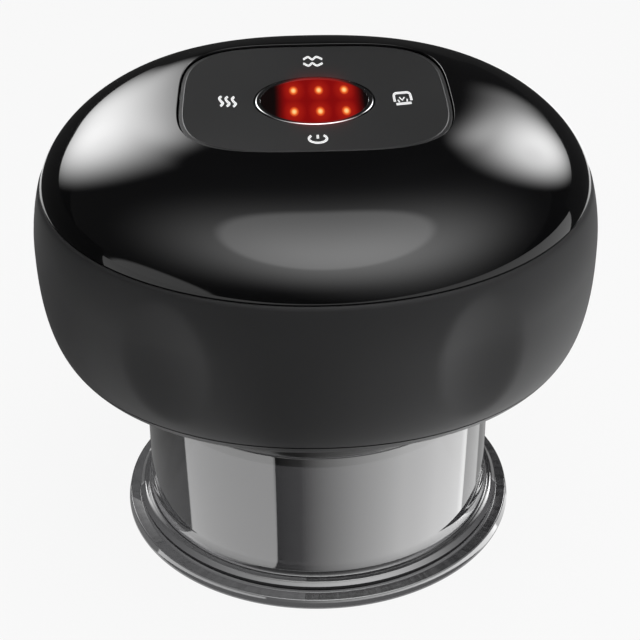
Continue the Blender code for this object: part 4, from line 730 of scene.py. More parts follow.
def make_underside():
    """The matt bottom cover round the collar, with its four screw sockets."""
    start = PARTING_ANGLE + 2 * SEAM_GAP / (WIDEST_HEIGHT - UNDERSIDE_HEIGHT)
    turns = [math.sin(step / UNDERSIDE_STEPS * math.pi / 2) for step in range(UNDERSIDE_STEPS + 1)]
    rings = [heel_ring(*heel(start + (math.pi / 2 - start) * turn)) for turn in turns]
    inside, lip_foot = offset([heel(PARTING_ANGLE - PARTING_SAMPLE), heel(PARTING_ANGLE)], -SHELL_WALL)[-1]
    lip_outer, lip_foot = inside - LIP_GAP, lip_foot - SEAM_GAP
    lip_inner, lip_top = lip_outer - LIP_WALL, lip_foot + LIP_HEIGHT
    hole = [(COLLAR_HOLE + EDGE_ROUND, UNDERSIDE_HEIGHT), (COLLAR_HOLE, UNDERSIDE_HEIGHT + EDGE_ROUND)]
    lip = [(UNDERSIDE_RADIUS, BASE_TOP), (lip_inner, lip_foot - BASE_WALL / 4), (lip_inner, lip_top)]
    lip += [(lip_outer, lip_top), (lip_outer, lip_foot)]
    rings += rings_of(hole + [(COLLAR_HOLE, BASE_TOP)], 2) + rings_of(lip, HEEL_SQUARENESS)
    cover = ringed("under_cover", rings, HEAD_SIDES)
    seat = SCREW_HEAD_LOW + SCREW_HEAD_HEIGHT + SEAM_GAP
    sink, bore = SCREW_HEAD_RADIUS + SEAM_GAP, SCREW_RADIUS + SEAM_GAP
    low, high = UNDERSIDE_HEIGHT - COVER_WALL, CHASSIS_UNDERSIDE + COVER_WALL
    profile = [(0, low), (sink, low), (sink, seat), (bore, seat), (bore, high), (0, high)]
    centres = spread(SCREW_COUNT, SCREW_CIRCLE)
    bosses = rods("boss", BASE_BOSS_RADIUS, BASE_TOP - SHELL_STEP, CHASSIS_UNDERSIDE - SEAM_GAP, centres)
    combine(cover, bosses, "UNION")
    combine(cover, [spun("bore", profile, SMALL_SIDES, centre) for centre in centres], "DIFFERENCE")
    return smooth(cover)


def make_screws():
    """Pan head screws with a cross recess, one turned and cut and the others copied."""
    neck = SCREW_HEAD_LOW + SCREW_HEAD_HEIGHT
    tip = neck + SCREW_LENGTH
    profile = [(0, SCREW_HEAD_LOW)]
    profile += corner((SCREW_HEAD_RADIUS, SCREW_HEAD_LOW), EDGE_ROUND, -90, 0, SCREW_STEPS)
    profile += [(SCREW_HEAD_RADIUS, neck), (SCREW_RADIUS, neck), (SCREW_RADIUS, tip), (0, tip)]
    first = spun("screw_1", profile, SMALL_SIDES)
    size = (SCREW_SLOT_LENGTH, SCREW_SLOT_WIDTH, SCREW_HEAD_HEIGHT)
    slots = [block("slot", size, (0, 0, SCREW_HEAD_LOW), turn + math.pi / 4) for turn in (0, math.pi / 2)]
    combine(first, slots, "DIFFERENCE")
    smooth(first)
    screws = []
    for number, centre in enumerate(spread(SCREW_COUNT, SCREW_CIRCLE), 1):
        screw = first.copy()
        screw.data = first.data.copy()
        screw.name = f"screw_{number}"
        bpy.context.scene.collection.objects.link(screw)
        screw.location = centre
        settle(screw)
        screws.append(screw)
    bpy.data.objects.remove(first)
    return screws


def make_collar():
    """The socket under the head: a short collar, the seal's groove and the ceiling over the cup."""
    groove_low = COLLAR_BOTTOM + GROOVE_RISE
    groove_high = groove_low + GROOVE_HEIGHT
    flange_low = BASE_TOP + SEAM_GAP
    flange_high = flange_low + COLLAR_FLANGE_THICKNESS
    outer, flange = COLLAR_BORE + COLLAR_SLEEVE, COLLAR_FLANGE_RADIUS
    profile = [(0, CEILING_TOP), (outer, CEILING_TOP), (outer, flange_high), (flange, flange_high)]
    profile += [(flange, flange_low), (COLLAR_RADIUS, flange_low)]
    profile += corner((COLLAR_RADIUS, COLLAR_BOTTOM), COLLAR_ROUND, 0, -90, COLLAR_STEPS)
    profile += corner((COLLAR_BORE, COLLAR_BOTTOM), EDGE_ROUND, 270, 180, EDGE_STEPS)
    profile += [(COLLAR_BORE, groove_low), (GROOVE_RADIUS, groove_low), (GROOVE_RADIUS, groove_high)]
    profile += [(COLLAR_BORE, groove_high), (COLLAR_BORE, CEILING_HEIGHT), (CHAMBER_OUTER, CEILING_HEIGHT)]
    profile += corner((CHAMBER_OUTER, CHAMBER_LOW), EDGE_ROUND, 0, -90, EDGE_STEPS)
    profile += [(CHAMBER_RADIUS, CHAMBER_LOW), (CHAMBER_RADIUS, CEILING_HEIGHT), (0, CEILING_HEIGHT)]
    collar = spun("collar", profile, CUP_SIDES)
    centres = [(0, AIR_LINE_Y, 0)]
    top = CEILING_TOP + NOZZLE_LENGTH
    nozzles = rods("nozzle", NOZZLE_RADIUS, CEILING_TOP - SHELL_STEP, top, centres)
    bores = rods("nozzle_bore", NOZZLE_BORE, CEILING_HEIGHT - COVER_WALL, top + COVER_WALL, centres)
    combine(collar, nozzles, "UNION")
    combine(collar, bores, "DIFFERENCE")
    return smooth(collar)


def make_seal():
    """The rubber ring in the collar's groove, with its two inner edges rounded."""
    inner, outer = NECK_RADIUS + SEAL_CLEARANCE, GROOVE_RADIUS - SEAL_CLEARANCE
    low = COLLAR_BOTTOM + GROOVE_RISE + SEAM_GAP
    high = low + GROOVE_HEIGHT - 2 * SEAM_GAP
    profile = [(inner, low + SEAL_ROUND)]
    profile += corner((inner, low), SEAL_ROUND, 180, 270, SEAL_STEPS) + [(outer, low), (outer, high)]
    profile += corner((inner, high), SEAL_ROUND, 90, 180, SEAL_STEPS)
    return spun("cup_seal_ring", profile, RING_SIDES)


def make_bezel():
    """The bright ring round the display."""
    low = POCKET_FLOOR + SEAM_GAP
    inner = DISPLAY_RADIUS - DISPLAY_WALL
    ledge = WINDOW_TOP - WINDOW_THICKNESS - SEAM_GAP
    profile = [(inner - DISPLAY_LEDGE, low), (DISPLAY_RADIUS, low)]
    profile += corner((DISPLAY_RADIUS, DISPLAY_TOP), DISPLAY_ROUND, 0, 90, BEZEL_STEPS)
    profile += [(inner, DISPLAY_TOP - DISPLAY_SLOPE), (inner, ledge), (inner - DISPLAY_LEDGE, ledge)]
    return spun("display_bezel", profile, RING_SIDES)


def make_window():
    """The dark lens over the lamps, with a fine bevel."""
    radius = DISPLAY_RADIUS - DISPLAY_WALL - WINDOW_GAP
    low, high = WINDOW_TOP - WINDOW_THICKNESS, WINDOW_TOP
    profile = [(0, low), (radius, low), (radius, high - WINDOW_BEVEL), (radius - WINDOW_BEVEL, high)]
    return spun("display_lens", profile + [(0, high)], RING_SIDES)


def flat_stroke(points, width):
    """Draws one stroke of an icon as a curve with round ends, and makes it a mesh."""
    curve = bpy.data.curves.new("stroke", "CURVE")
    curve.dimensions = "3D"
    curve.bevel_depth = width / 2
    curve.bevel_resolution = ICON_END_STEPS
    curve.use_fill_caps = True
    spline = curve.splines.new("POLY")
    spline.points.add(len(points) - 1)
    for point, (x, y) in zip(spline.points, points):
        point.co = (x * ICON_UNIT, y * ICON_UNIT, 0, 1)
    stroke = bpy.data.objects.new("stroke", curve)
    bpy.context.scene.collection.objects.link(stroke)
    pick(stroke)
    bpy.ops.object.convert(target="MESH")
    return bpy.context.object


def rounded(points, steps=ICON_LINE_STEPS):
    """A smooth line through given points."""
    places = [Vector(point) for point in points]
    padded = [places[0] * 2 - places[1]] + places + [places[-1] * 2 - places[-2]]
    line = []
    for first, second, third, fourth in zip(padded, padded[1:], padded[2:], padded[3:]):
        for step in range(steps):
            t = step / steps
            line.append(0.5 * (2 * second + (third - first) * t
                               + (2 * first - 5 * second + 4 * third - fourth) * t ** 2
                               + (3 * second - first - 3 * third + fourth) * t ** 3))
    return [tuple(place) for place in line + [places[-1]]]


def make_icon(name, centre, strokes, width=ICON_STROKE):
    """Lays strokes on the dished panel as thin raised ink, stretched to look even from the front."""
    pieces = [flat_stroke(stroke, width) for stroke in strokes]
    pick(*pieces)
    if len(pieces) > 1:
        bpy.ops.object.join()
    icon = take(name, bpy.context.object)
    for vertex in icon.data.vertices:
        x, y = vertex.co.x + centre[0], vertex.co.y * ICON_STRETCH + centre[1]
        lift = vertex.co.z / (width / 2) * ICON_INK
        vertex.co = (x, y, panel_height(panel_radius(x, y)) + lift)
    return smooth(icon)


def make_icons():
    """The four keys' signs, drawn in millimetres as they look from the front."""
    wave = [(0.02, 0.82), (-0.33, 0.46), (0, -0.02), (0.33, -0.33), (-0.08, -0.80)]
    waves = [rounded([(x + shift, y) for x, y in wave]) for shift in (-1.055, 0, 1.055)]
    arch = [(-1.35, -0.53), (-1.37, 0.42)] + arc((-0.84, 0.44), (0.52, 0.42), 170, 90, 5)
    arch += arc((0.80, 0.44), (0.54, 0.42), 90, 10, 5) + [(1.36, 0.42), (1.41, -0.51)]
    floor = [(-1.18, -0.94), (1.32, -0.91)]
    marks = [[(-0.50, 0.15), (-0.10, -0.36), (0.32, 0.10)], [(-0.80, -0.25), (-0.58, -0.66)]]
    marks += [[(0.73, -0.22), (0.64, -0.66)]]
    top = rounded([(-1.66, 0.29), (-0.79, 0.66), (-0.10, 0.28), (0.67, 0.66), (1.67, 0.30)])
    ring = arc((0, 0), (1.41, 0.75), 136, 408, 28)
    return [
        make_icon("icon_heat", HEAT_PLACE, waves),
        make_icon("icon_suction", SUCTION_PLACE, [arch, floor]),
        make_icon("icon_suction_marks", SUCTION_PLACE, marks, ICON_MARK_STROKE),
        make_icon("icon_massage", MASSAGE_PLACE, [top, [(x, -y) for x, y in top]], ICON_WAVE_STROKE),
        make_icon("icon_power", POWER_PLACE, [ring, [(0, -0.03), (0, 0.64)]]),
    ]


def make_cup():
    """The cup with its leaning rim, beaded foot and stepped neck."""
    bore, neck_bore = CUP_WALL - CUP_THICKNESS, NECK_RADIUS - NECK_WALL
    draft = (RIM_THICKNESS - RIM_FOOT_ROUND - RIM_ROUND) * math.tan(math.radians(RIM_LEAN))
    rim_low = arc((RIM_RADIUS - RIM_FOOT_ROUND, RIM_FOOT_ROUND), RIM_FOOT_ROUND, 270, 360 + RIM_LEAN,
                  ROUND_STEPS)
    rim_high = arc((RIM_RADIUS - draft - RIM_ROUND, RIM_THICKNESS - RIM_ROUND), RIM_ROUND, RIM_LEAN, 90,
                   ROUND_STEPS)
    holds = [tuple(Vector(rim_low[-1]).lerp(Vector(rim_high[0]), share)) for share in RIM_HOLD_SHARES]
    profile = corner((bore, 0), CUP_MOUTH_ROUND, 180, 270)
    profile += rim_low + holds + rim_high
    profile += corner((BEAD_RADIUS, RIM_THICKNESS), NECK_ROUND, 270, 180, EDGE_STEPS)
    profile += [(BEAD_RADIUS + outward, BEAD_TOP + up) for outward, up in BEAD_SHOULDER]
    profile += arc((CUP_WALL + FLARE_WIDTH, BEAD_TOP + FLARE_HEIGHT), (FLARE_WIDTH, FLARE_HEIGHT), 270, 180,
                   FLARE_STEPS)
    profile += corner((CUP_WALL, SHOULDER_HEIGHT), SHOULDER_ROUND, 0, 90)
    profile += corner((NECK_RADIUS, SHOULDER_HEIGHT), NECK_ROUND, 270, 180, EDGE_STEPS)
    profile += corner((NECK_RADIUS, NECK_TOP), SHOULDER_ROUND, 0, 90)
    profile += corner((neck_bore, NECK_TOP), NECK_ROUND, 90, 180, EDGE_STEPS)
    profile += arc((neck_bore - NECK_TAPER, SHOULDER_HEIGHT), NECK_TAPER, 0, -NECK_TAPER_TURN,
                   NECK_TAPER_STEPS)
    return spun("smoked_cup", profile + [(bore, SHOULDER_HEIGHT - NECK_TAPER_DROP)], CUP_SIDES)


def flat_ring(name, inner, outer, inner_corner, outer_corner):
    """A level ring at the plate's height, with its two lower edges rounded. A corner is (round, steps)."""
    low, high = PLATE_UNDERSIDE, PLATE_UNDERSIDE + PLATE_THICKNESS
    (inner_round, inner_steps), (outer_round, outer_steps) = inner_corner, outer_corner
    profile = [(inner, high)] + corner((inner, low), inner_round, 180, 270, inner_steps)
    profile += corner((outer, low), outer_round, -90, 0, outer_steps) + [(outer, high)]
    return spun(name, profile, RING_SIDES)


def make_plate():
    """The warming plate, with a turned edge."""
    inner = CHAMBER_OUTER + PLATE_EYE_GAP
    return flat_ring("warming_plate", inner, COLLAR_BORE - LAMP_RING_WIDTH, (EDGE_ROUND, EDGE_STEPS),
                     (PLATE_ROUND, ROUND_STEPS))


def make_lamp_ring():
    """The clear red ring over the warming lamps."""
    inner = COLLAR_BORE - LAMP_RING_WIDTH + SEAM_GAP
    return flat_ring("lamp_ring", inner, COLLAR_BORE - SEAM_GAP, (PLATE_ROUND, ROUND_STEPS),
                     (EDGE_ROUND, EDGE_STEPS))


def make_filter_cap():
    """The small cap over the air filter, with its six air holes."""
    high = CHAMBER_LOW - SEAM_GAP
    low = high - CAP_THICKNESS
    skirt = CHAMBER_RADIUS - SEAM_GAP
    skirt_top = CHAMBER_LOW + CAP_SKIRT_HEIGHT
    profile = [(0, low)] + corner((CAP_RADIUS, low), CAP_ROUND, -90, 0)
    profile += [(CAP_RADIUS, high), (skirt, high), (skirt, skirt_top)]
    profile += [(skirt - CAP_SKIRT_WALL, skirt_top), (skirt - CAP_SKIRT_WALL, high), (0, high)]
    cap = spun("air_filter_cap", profile, RING_SIDES)
    centres = [(0, 0, 0)] + spread(AIR_HOLE_COUNT, AIR_HOLE_PLACE)
    holes = rods("air_hole", AIR_HOLE_RADIUS, low - SHELL_WALL, high + CAP_ROUND, centres)
    combine(cap, holes, "DIFFERENCE")
    return smooth(cap)


def slot_block(name, width, height, start, end):
    """A block with a slot's outline, lying along Y at the charging port's level."""
    piece = begin(bpy.ops.mesh.primitive_circle_add, vertices=SLOT_SIDES, radius=height / 2,
                  fill_type="NGON", location=(0, start, PORT_LEVEL), rotation=(math.pi / 2, 0, 0))
    settle(piece)
    pick_points()
    extrude((0, end - start, 0))
    set_mode("OBJECT")
    for vertex in piece.data.vertices:
        if abs(vertex.co.x) > WELD:
            vertex.co.x += math.copysign((width - height) / 2, vertex.co.x)
    return close_up(name, piece)


def make_port():
    """The charging port's drawn shell, and the tongue in it."""
    floor = PORT_MOUTH - PORT_DEPTH
    shell = slot_block("charging_port", PORT_WIDTH, PORT_HEIGHT, PORT_MOUTH - PORT_LENGTH, PORT_MOUTH)
    well = slot_block("port_well", PORT_WIDTH - 2 * PORT_WALL, PORT_HEIGHT - 2 * PORT_WALL, floor,
                      PORT_MOUTH + SHELL_WALL)
    combine(shell, [well], "DIFFERENCE")
    smooth(shell)
    tongue = block("port_tongue", (PORT_TONGUE_WIDTH, PORT_TONGUE_LENGTH, PORT_TONGUE_HEIGHT),
                   (0, floor + PORT_TONGUE_LENGTH / 2, PORT_LEVEL))
    bevel = tongue.modifiers.new("Bevel", "BEVEL")
    bevel.width = PORT_TONGUE_BEVEL
    bevel.segments = PORT_TONGUE_BEVEL_STEPS
    apply_modifiers(tongue)
    return shell, smooth(tongue)


def feed(tree, socket, value):
    """Links an input to another node's output, or gives it a plain value."""
    if isinstance(value, bpy.types.NodeSocket):
        tree.links.new(value, socket)
    else:
        socket.default_value = value


def add_node(tree, kind, values, **settings):
    """A shader node with its settings, whose inputs are fed by name or by number."""
    node = tree.nodes.new(f"ShaderNode{kind}")
    for label, value in settings.items():
        setattr(node, label, value)
    for label, value in values.items():
        feed(tree, node.inputs[label], value)
    return node


def calculate(tree, operation, *values):
    return add_node(tree, "Math", dict(enumerate(values)), operation=operation).outputs[0]


def vector_math(tree, operation, values):
    return add_node(tree, "VectorMath", values, operation=operation).outputs[0]


def object_place(tree):
    return tree.nodes.new("ShaderNodeTexCoord").outputs["Object"]


def sides_of(tree, place):
    return add_node(tree, "SeparateXYZ", {0: place}).outputs


def distance(tree, across, up):
    """How far a place is from the middle, by its two sides."""
    squares = calculate(tree, "MULTIPLY_ADD", across, across, calculate(tree, "MULTIPLY", up, up))
    return calculate(tree, "SQRT", squares)


def fade(tree, value, start, end, step="SMOOTHSTEP"):
    """A step from 0, where the value is at the start, to 1 at the end."""
    inputs = {"Value": value, "From Min": start, "From Max": end}
    return add_node(tree, "MapRange", inputs, interpolation_type=step).outputs["Result"]


def noise(tree, place, scale, detail=CLOUD_DETAIL):
    return add_node(tree, "TexNoise", {"Vector": place, "Scale": scale, "Detail": detail}).outputs["Fac"]


def shaded(tree, colour, amount):
    """A colour made lighter or darker by a factor round 1."""
    return vector_math(tree, "SCALE", {0: colour, "Scale": amount})


def ramped(tree, value, stops, last):
    """Colours through these stops, and the last one at 1."""
    ramp = add_node(tree, "ValToRGB", {"Fac": value})
    elements = ramp.color_ramp.elements
    elements.remove(elements[0])
    elements[0].position = 1.0
    elements[0].color = (*last, 1)
    for position, colour in stops:
        elements.new(position).color = (*colour, 1)
    return ramp.outputs["Color"]


def new_effect(name, inputs, outputs):
    """An effect that several materials share: a node group with named sockets."""
    tree = bpy.data.node_groups.new(name, "ShaderNodeTree")
    for label, value in inputs.items():
        kind = "NodeSocketColor" if isinstance(value, tuple) else "NodeSocketFloat"
        socket = tree.interface.new_socket(name=label, in_out="INPUT", socket_type=kind)
        socket.default_value = value
    for label in outputs:
        kind = "NodeSocketColor" if label in ("Colour", "Glow") else "NodeSocketFloat"
        tree.interface.new_socket(name=label, in_out="OUTPUT", socket_type=kind)
    return tree, tree.nodes.new("NodeGroupInput").outputs


def put_out(tree, values):
    made = tree.nodes.new("NodeGroupOutput")
    for label, value in values.items():
        tree.links.new(value, made.inputs[label])
    return tree


def surface_effect(name, inputs):
    """A shared effect that gives a surface its colour, roughness and relief."""
    tree, given = new_effect(name, {"Colour": (0.5, 0.5, 0.5, 1), "Roughness": 0.5, **inputs},
                             ("Colour", "Roughness", "Height"))
    return tree, given, object_place(tree)


def moulded_skin():
    """Moulded plastic and rubber: fine grain, a faint cloudiness and places rubbed smoother."""
    tree, given, place = surface_effect("moulded skin", {"Grain": 6000.0, "Cloud": 0.1, "Rub": 0.05})
    grain = noise(tree, place, given["Grain"], GRAIN_DETAIL)
    lean = calculate(tree, "SUBTRACT", noise(tree, place, SKIN_CLOUDS, GRAIN_DETAIL), NOISE_MIDDLE)
    both = calculate(tree, "ADD", lean, calculate(tree, "SUBTRACT", grain, NOISE_MIDDLE))
    tone = calculate(tree, "MULTIPLY_ADD", both, given["Cloud"], 1.0)
    rub = calculate(tree, "MULTIPLY_ADD", lean, given["Rub"], given["Roughness"])
    return put_out(tree, {"Colour": shaded(tree, given["Colour"], tone), "Roughness": rub, "Height": grain})


def worked_metal():
    """Turned or drawn metal: fine lines one way, with dull patches."""
    tree, given, place = surface_effect("worked metal", {"Lines": 9000.0, "Dulling": 0.15})
    stretch = add_node(tree, "Mapping", {"Scale": METAL_LINES_STRETCH, "Vector": place})
    lines = noise(tree, stretch.outputs["Vector"], given["Lines"], GRAIN_DETAIL)
    broad = calculate(tree, "SUBTRACT", noise(tree, place, METAL_CLOUDS), NOISE_MIDDLE)
    streak = calculate(tree, "SUBTRACT", lines, NOISE_MIDDLE)
    tone = calculate(tree, "MULTIPLY_ADD", streak, given["Dulling"], 1.0)
    dull = calculate(tree, "MULTIPLY_ADD", streak, METAL_STREAKS, broad)
    rough = calculate(tree, "MULTIPLY_ADD", dull, given["Dulling"], given["Roughness"])
    colour = shaded(tree, given["Colour"], tone)
    return put_out(tree, {"Colour": colour, "Roughness": rough, "Height": lines})


def matted_fibres():
    """Felt and filter foam: tangled light and dark fibres."""
    tree, given, place = surface_effect("matted fibres", {"Tangle": 2500.0, "Shade": 0.5})
    inputs = {"Vector": place, "Scale": given["Tangle"]}
    cells = add_node(tree, "TexVoronoi", inputs, feature="DISTANCE_TO_EDGE").outputs["Distance"]
    height = calculate(tree, "ADD", cells, noise(tree, place, given["Tangle"], FIBRE_DETAIL))
    lean = calculate(tree, "SUBTRACT", height, FIBRE_MIDDLE)
    colour = shaded(tree, given["Colour"], calculate(tree, "MULTIPLY_ADD", lean, given["Shade"], 1.0))
    return put_out(tree, {"Colour": colour, "Roughness": given["Roughness"], "Height": height})


def tracks_and_turns():
    """Rows of tracks or turns: wound wire, heater tracks and the lines of a printed board."""
    inputs = {"Gap colour": (0.1, 0.05, 0.02, 1), "Rows": 1800.0, "Wander": 0.0}
    tree, given, place = surface_effect("tracks and turns", inputs)
    rows = add_node(tree, "TexWave", {"Vector": place, "Scale": given["Rows"], "Distortion": given["Wander"],
                                      "Detail": 0.0})
    edge = fade(tree, rows.outputs["Fac"], *TRACK_EDGES, step="LINEAR")
    inputs = {"Factor": edge, "A": given["Gap colour"], "B": given["Colour"]}
    mix = add_node(tree, "Mix", inputs, data_type="RGBA")
    clouds = noise(tree, place, TRACK_CLOUDS)
    rough = calculate(tree, "MULTIPLY_ADD", clouds, TRACK_CLOUDING, given["Roughness"])
    return put_out(tree, {"Colour": mix.outputs["Result"], "Roughness": rough, "Height": edge})


def lamp_glow():
    """Red light of the display's six lamps: how near a lamp is, and how far it spreads past the lens."""
    tree, given = new_effect("lamp glow", {"Dots": 1.0, "Spill": 0.0}, ("Glow",))
    place = sides_of(tree, object_place(tree))
    across = calculate(tree, "ABSOLUTE", calculate(tree, "SUBTRACT", place["X"], LAMPS_X))
    up = calculate(tree, "ABSOLUTE", calculate(tree, "SUBTRACT", place["Y"], LAMPS_Y))
    to_side = calculate(tree, "ABSOLUTE", calculate(tree, "SUBTRACT", across, LAMP_COLUMN_PITCH))
    to_row = calculate(tree, "SUBTRACT", up, LAMP_ROW_PITCH / 2)
    near = distance(tree, calculate(tree, "MINIMUM", across, to_side),
                    calculate(tree, "DIVIDE", to_row, ICON_STRETCH))
    dots = ramped(tree, calculate(tree, "DIVIDE", near, LAMP_REACH), LAMP_STOPS, LAMP_FAR)
    field = fade(tree, across, LAMP_FIELD + LAMP_FIELD_SOFT, LAMP_FIELD - LAMP_FIELD_SOFT)
    inside = shaded(tree, dots, calculate(tree, "MULTIPLY", field, given["Dots"]))
    past = calculate(tree, "SUBTRACT", distance(tree, place["X"], place["Y"]), DISPLAY_RADIUS)
    dying = calculate(tree, "EXPONENT", calculate(tree, "DIVIDE", past, -SPILL_REACH))
    dying = calculate(tree, "MULTIPLY", dying, fade(tree, across, LAMP_FIELD, SPILL_FIELD))
    outside = shaded(tree, SPILL_COLOUR, calculate(tree, "MULTIPLY", dying, given["Spill"]))
    return put_out(tree, {"Glow": vector_math(tree, "ADD", {0: inside, 1: outside})})


def foot_shade():
    """How far a place of the cup lies above its thick foot, from 0 to 1, and where it is polished."""
    tree, given = new_effect("above the foot", FOOT_VALUES, ("Share", "Polish"))
    place = sides_of(tree, object_place(tree))
    above = fade(tree, place["Z"], given["Start"], given["End"], step="LINEAR")
    over = calculate(tree, "GREATER_THAN", place["Z"], given["Bead low"])
    under = calculate(tree, "LESS_THAN", place["Z"], given["Bead high"])
    rim = calculate(tree, "GREATER_THAN", distance(tree, place["X"], place["Y"]), given["Rim start"])
    polished = calculate(tree, "MAXIMUM", calculate(tree, "MULTIPLY", over, under), rim)
    return put_out(tree, {"Share": above, "Polish": calculate(tree, "MAXIMUM", polished, above)})


def tree_of(material):
    material.use_nodes = True
    return material.node_tree, material.node_tree.nodes["Principled BSDF"]


def use_effect(tree, effect, values):
    """Places a shared effect in a material, with values of its own."""
    node = tree.nodes.new("ShaderNodeGroup")
    node.node_tree = effect
    for label, value in values.items():
        node.inputs[label].default_value = value
    return node.outputs


def made_of(name, effect, colour, roughness, relief, effect_values=(), shader_values=()):
    """A material whose colour, roughness and relief come from a shared effect."""
    made = bpy.data.materials.new(name)
    tree, shader = tree_of(made)
    given = {"Colour": (*colour, 1), "Roughness": roughness, **dict(effect_values)}
    surface = use_effect(tree, effect, given)
    tree.links.new(surface["Colour"], shader.inputs["Base Color"])
    tree.links.new(surface["Roughness"], shader.inputs["Roughness"])
    if relief:
        bump = add_node(tree, "Bump", {"Distance": relief, "Height": surface["Height"]})
        tree.links.new(bump.outputs["Normal"], shader.inputs["Normal"])
    for label, value in dict(shader_values).items():
        shader.inputs[label].default_value = value
    return made


def light_up(material, effect, values):
    """Adds the glow of the display's lamps to a finish."""
    tree, shader = tree_of(material)
    tree.links.new(use_effect(tree, effect, values)["Glow"], shader.inputs["Emission Color"])
    shader.inputs["Emission Strength"].default_value = 1.0


def darken_foot(material, effect):
    """The cup's thick foot lets less light through, and mirrors less, than its wall."""
    tree, shader = tree_of(material)
    foot = use_effect(tree, effect, FOOT_VALUES)
    colour = shader.inputs["Base Color"].links[0].from_socket
    amount = calculate(tree, "MULTIPLY_ADD", foot["Share"], 1 - FOOT_SHARE, FOOT_SHARE)
    tree.links.new(shaded(tree, colour, amount), shader.inputs["Base Color"])
    tree.links.new(foot["Polish"], shader.inputs["Coat Weight"])


def make_finishes():
    """Every finish of the massager, by the record's material slots and then the printed and small ones."""
    effects = {"skin": moulded_skin(), "metal": worked_metal()}
    effects |= {"fibres": matted_fibres(), "tracks": tracks_and_turns()}
    finishes = {}
    for slot, (name, effect, *values) in FINISHES.items():
        finishes[slot] = made_of(name, effects[effect], *values)
    darken_foot(finishes["smoked_cup"], foot_shade())
    glow = lamp_glow()
    for slot, values in LIT_FINISHES.items():
        light_up(finishes[slot], glow, values)
    return finishes


def plain_cloth(name, strength):
    """A lit surface of one brightness, with no shading of its own."""
    made = bpy.data.materials.new(name)
    made.use_nodes = True
    tree = made.node_tree
    tree.nodes.clear()
    light = add_node(tree, "Emission", {"Strength": strength})
    out = tree.nodes.new("ShaderNodeOutputMaterial")
    tree.links.new(light.outputs["Emission"], out.inputs["Surface"])
    return made, tree, light, out


def stand(piece, cloth, unseen_by=()):
    """Gives a piece of the studio its cloth, and hides it from some kinds of rays."""
    piece.data.materials.append(cloth)
    for rays in unseen_by:
        setattr(piece, f"visible_{rays}", False)


def direction(azimuth, elevation):
    """A direction by its azimuth from straight behind, towards the right, and its height, in degrees."""
    turn, rise = math.radians(azimuth), math.radians(elevation)
    return Vector((math.sin(turn) * math.cos(rise), math.cos(turn) * math.cos(rise), math.sin(rise)))


def make_fill():
    """A weak soft box at the right, facing the head's middle, for the matt surfaces only."""
    panel = take("right_fill", begin(bpy.ops.mesh.primitive_plane_add, size=1))
    toward = direction(FILL_AZIMUTH, FILL_ELEVATION)
    turn = toward.to_track_quat("Z", "Y").to_matrix().to_4x4()
    place = Matrix.Translation(LIGHT_AIM + toward * FILL_DISTANCE)
    panel.matrix_world = place @ turn @ Matrix.Diagonal((*FILL_SIZE, 1, 1))
    stand(panel, plain_cloth("right_fill", FILL_STRENGTH)[0], MATT_ONLY)


def make_overhead():
    """The round soft box over the object, for the matt surfaces only."""
    disc = begin(bpy.ops.mesh.primitive_circle_add, vertices=OVERHEAD_SIDES, radius=0.5, fill_type="NGON")
    take("overhead_box", disc)
    disc.matrix_world = Matrix.Translation(OVERHEAD_PLACE) @ Matrix.Diagonal((*OVERHEAD_SIZE, 1, 1))
    made, tree, light, _ = plain_cloth("overhead_box", OVERHEAD_STRENGTH)
    place = sides_of(tree, object_place(tree))
    strength = OVERHEAD_STRENGTH
    for side, edge, inside in OVERHEAD_FADES:
        strength = calculate(tree, "MULTIPLY", fade(tree, place[side], edge, inside), strength)
    tree.links.new(strength, light.inputs["Strength"])
    stand(disc, made, MATT_ONLY)


def mix_where_seen(tree, unseen, seen):
    """One shader where the camera, gloss or clear plastic shows a surface, and another for its light."""
    rays = tree.nodes.new("ShaderNodeLightPath").outputs
    either = calculate(tree, "MAXIMUM", rays["Is Camera Ray"], rays["Is Glossy Ray"])
    either = calculate(tree, "MAXIMUM", either, rays["Is Transmission Ray"])
    return add_node(tree, "MixShader", {0: either, 1: unseen, 2: seen}).outputs[0]


def make_floor():
    """The pale floor. What shows of it is lit by itself, with a faint shadow of the object."""
    floor = begin(bpy.ops.mesh.primitive_circle_add, vertices=FLOOR_SIDES, radius=FLOOR_RADIUS,
                  fill_type="NGON")
    take("floor", floor)
    made, tree, shown, out = plain_cloth("pale floor", 1.0)
    shown.inputs["Color"].default_value = (*PALE, 1)
    cloth = add_node(tree, "BsdfDiffuse", {"Color": (*FLOOR_CLOTH, 1)}).outputs[0]
    part = add_node(tree, "MixShader", {0: FLOOR_SHADOW_SHARE, 1: shown.outputs[0], 2: cloth}).outputs[0]
    tree.links.new(mix_where_seen(tree, cloth, part), out.inputs["Surface"])
    stand(floor, made)


def make_world():
    """A pale backdrop that lights almost nothing."""
    world = bpy.data.worlds.new("studio")
    bpy.context.scene.world = world
    world.use_nodes = True
    tree = world.node_tree
    back = tree.nodes["Background"]
    back.inputs["Color"].default_value = (*WORLD_LEVEL, 1)
    white = add_node(tree, "Background", {"Color": (*PALE, 1)})
    mixed = mix_where_seen(tree, back.outputs[0], white.outputs[0])
    tree.links.new(mixed, tree.nodes["World Output"].inputs["Surface"])


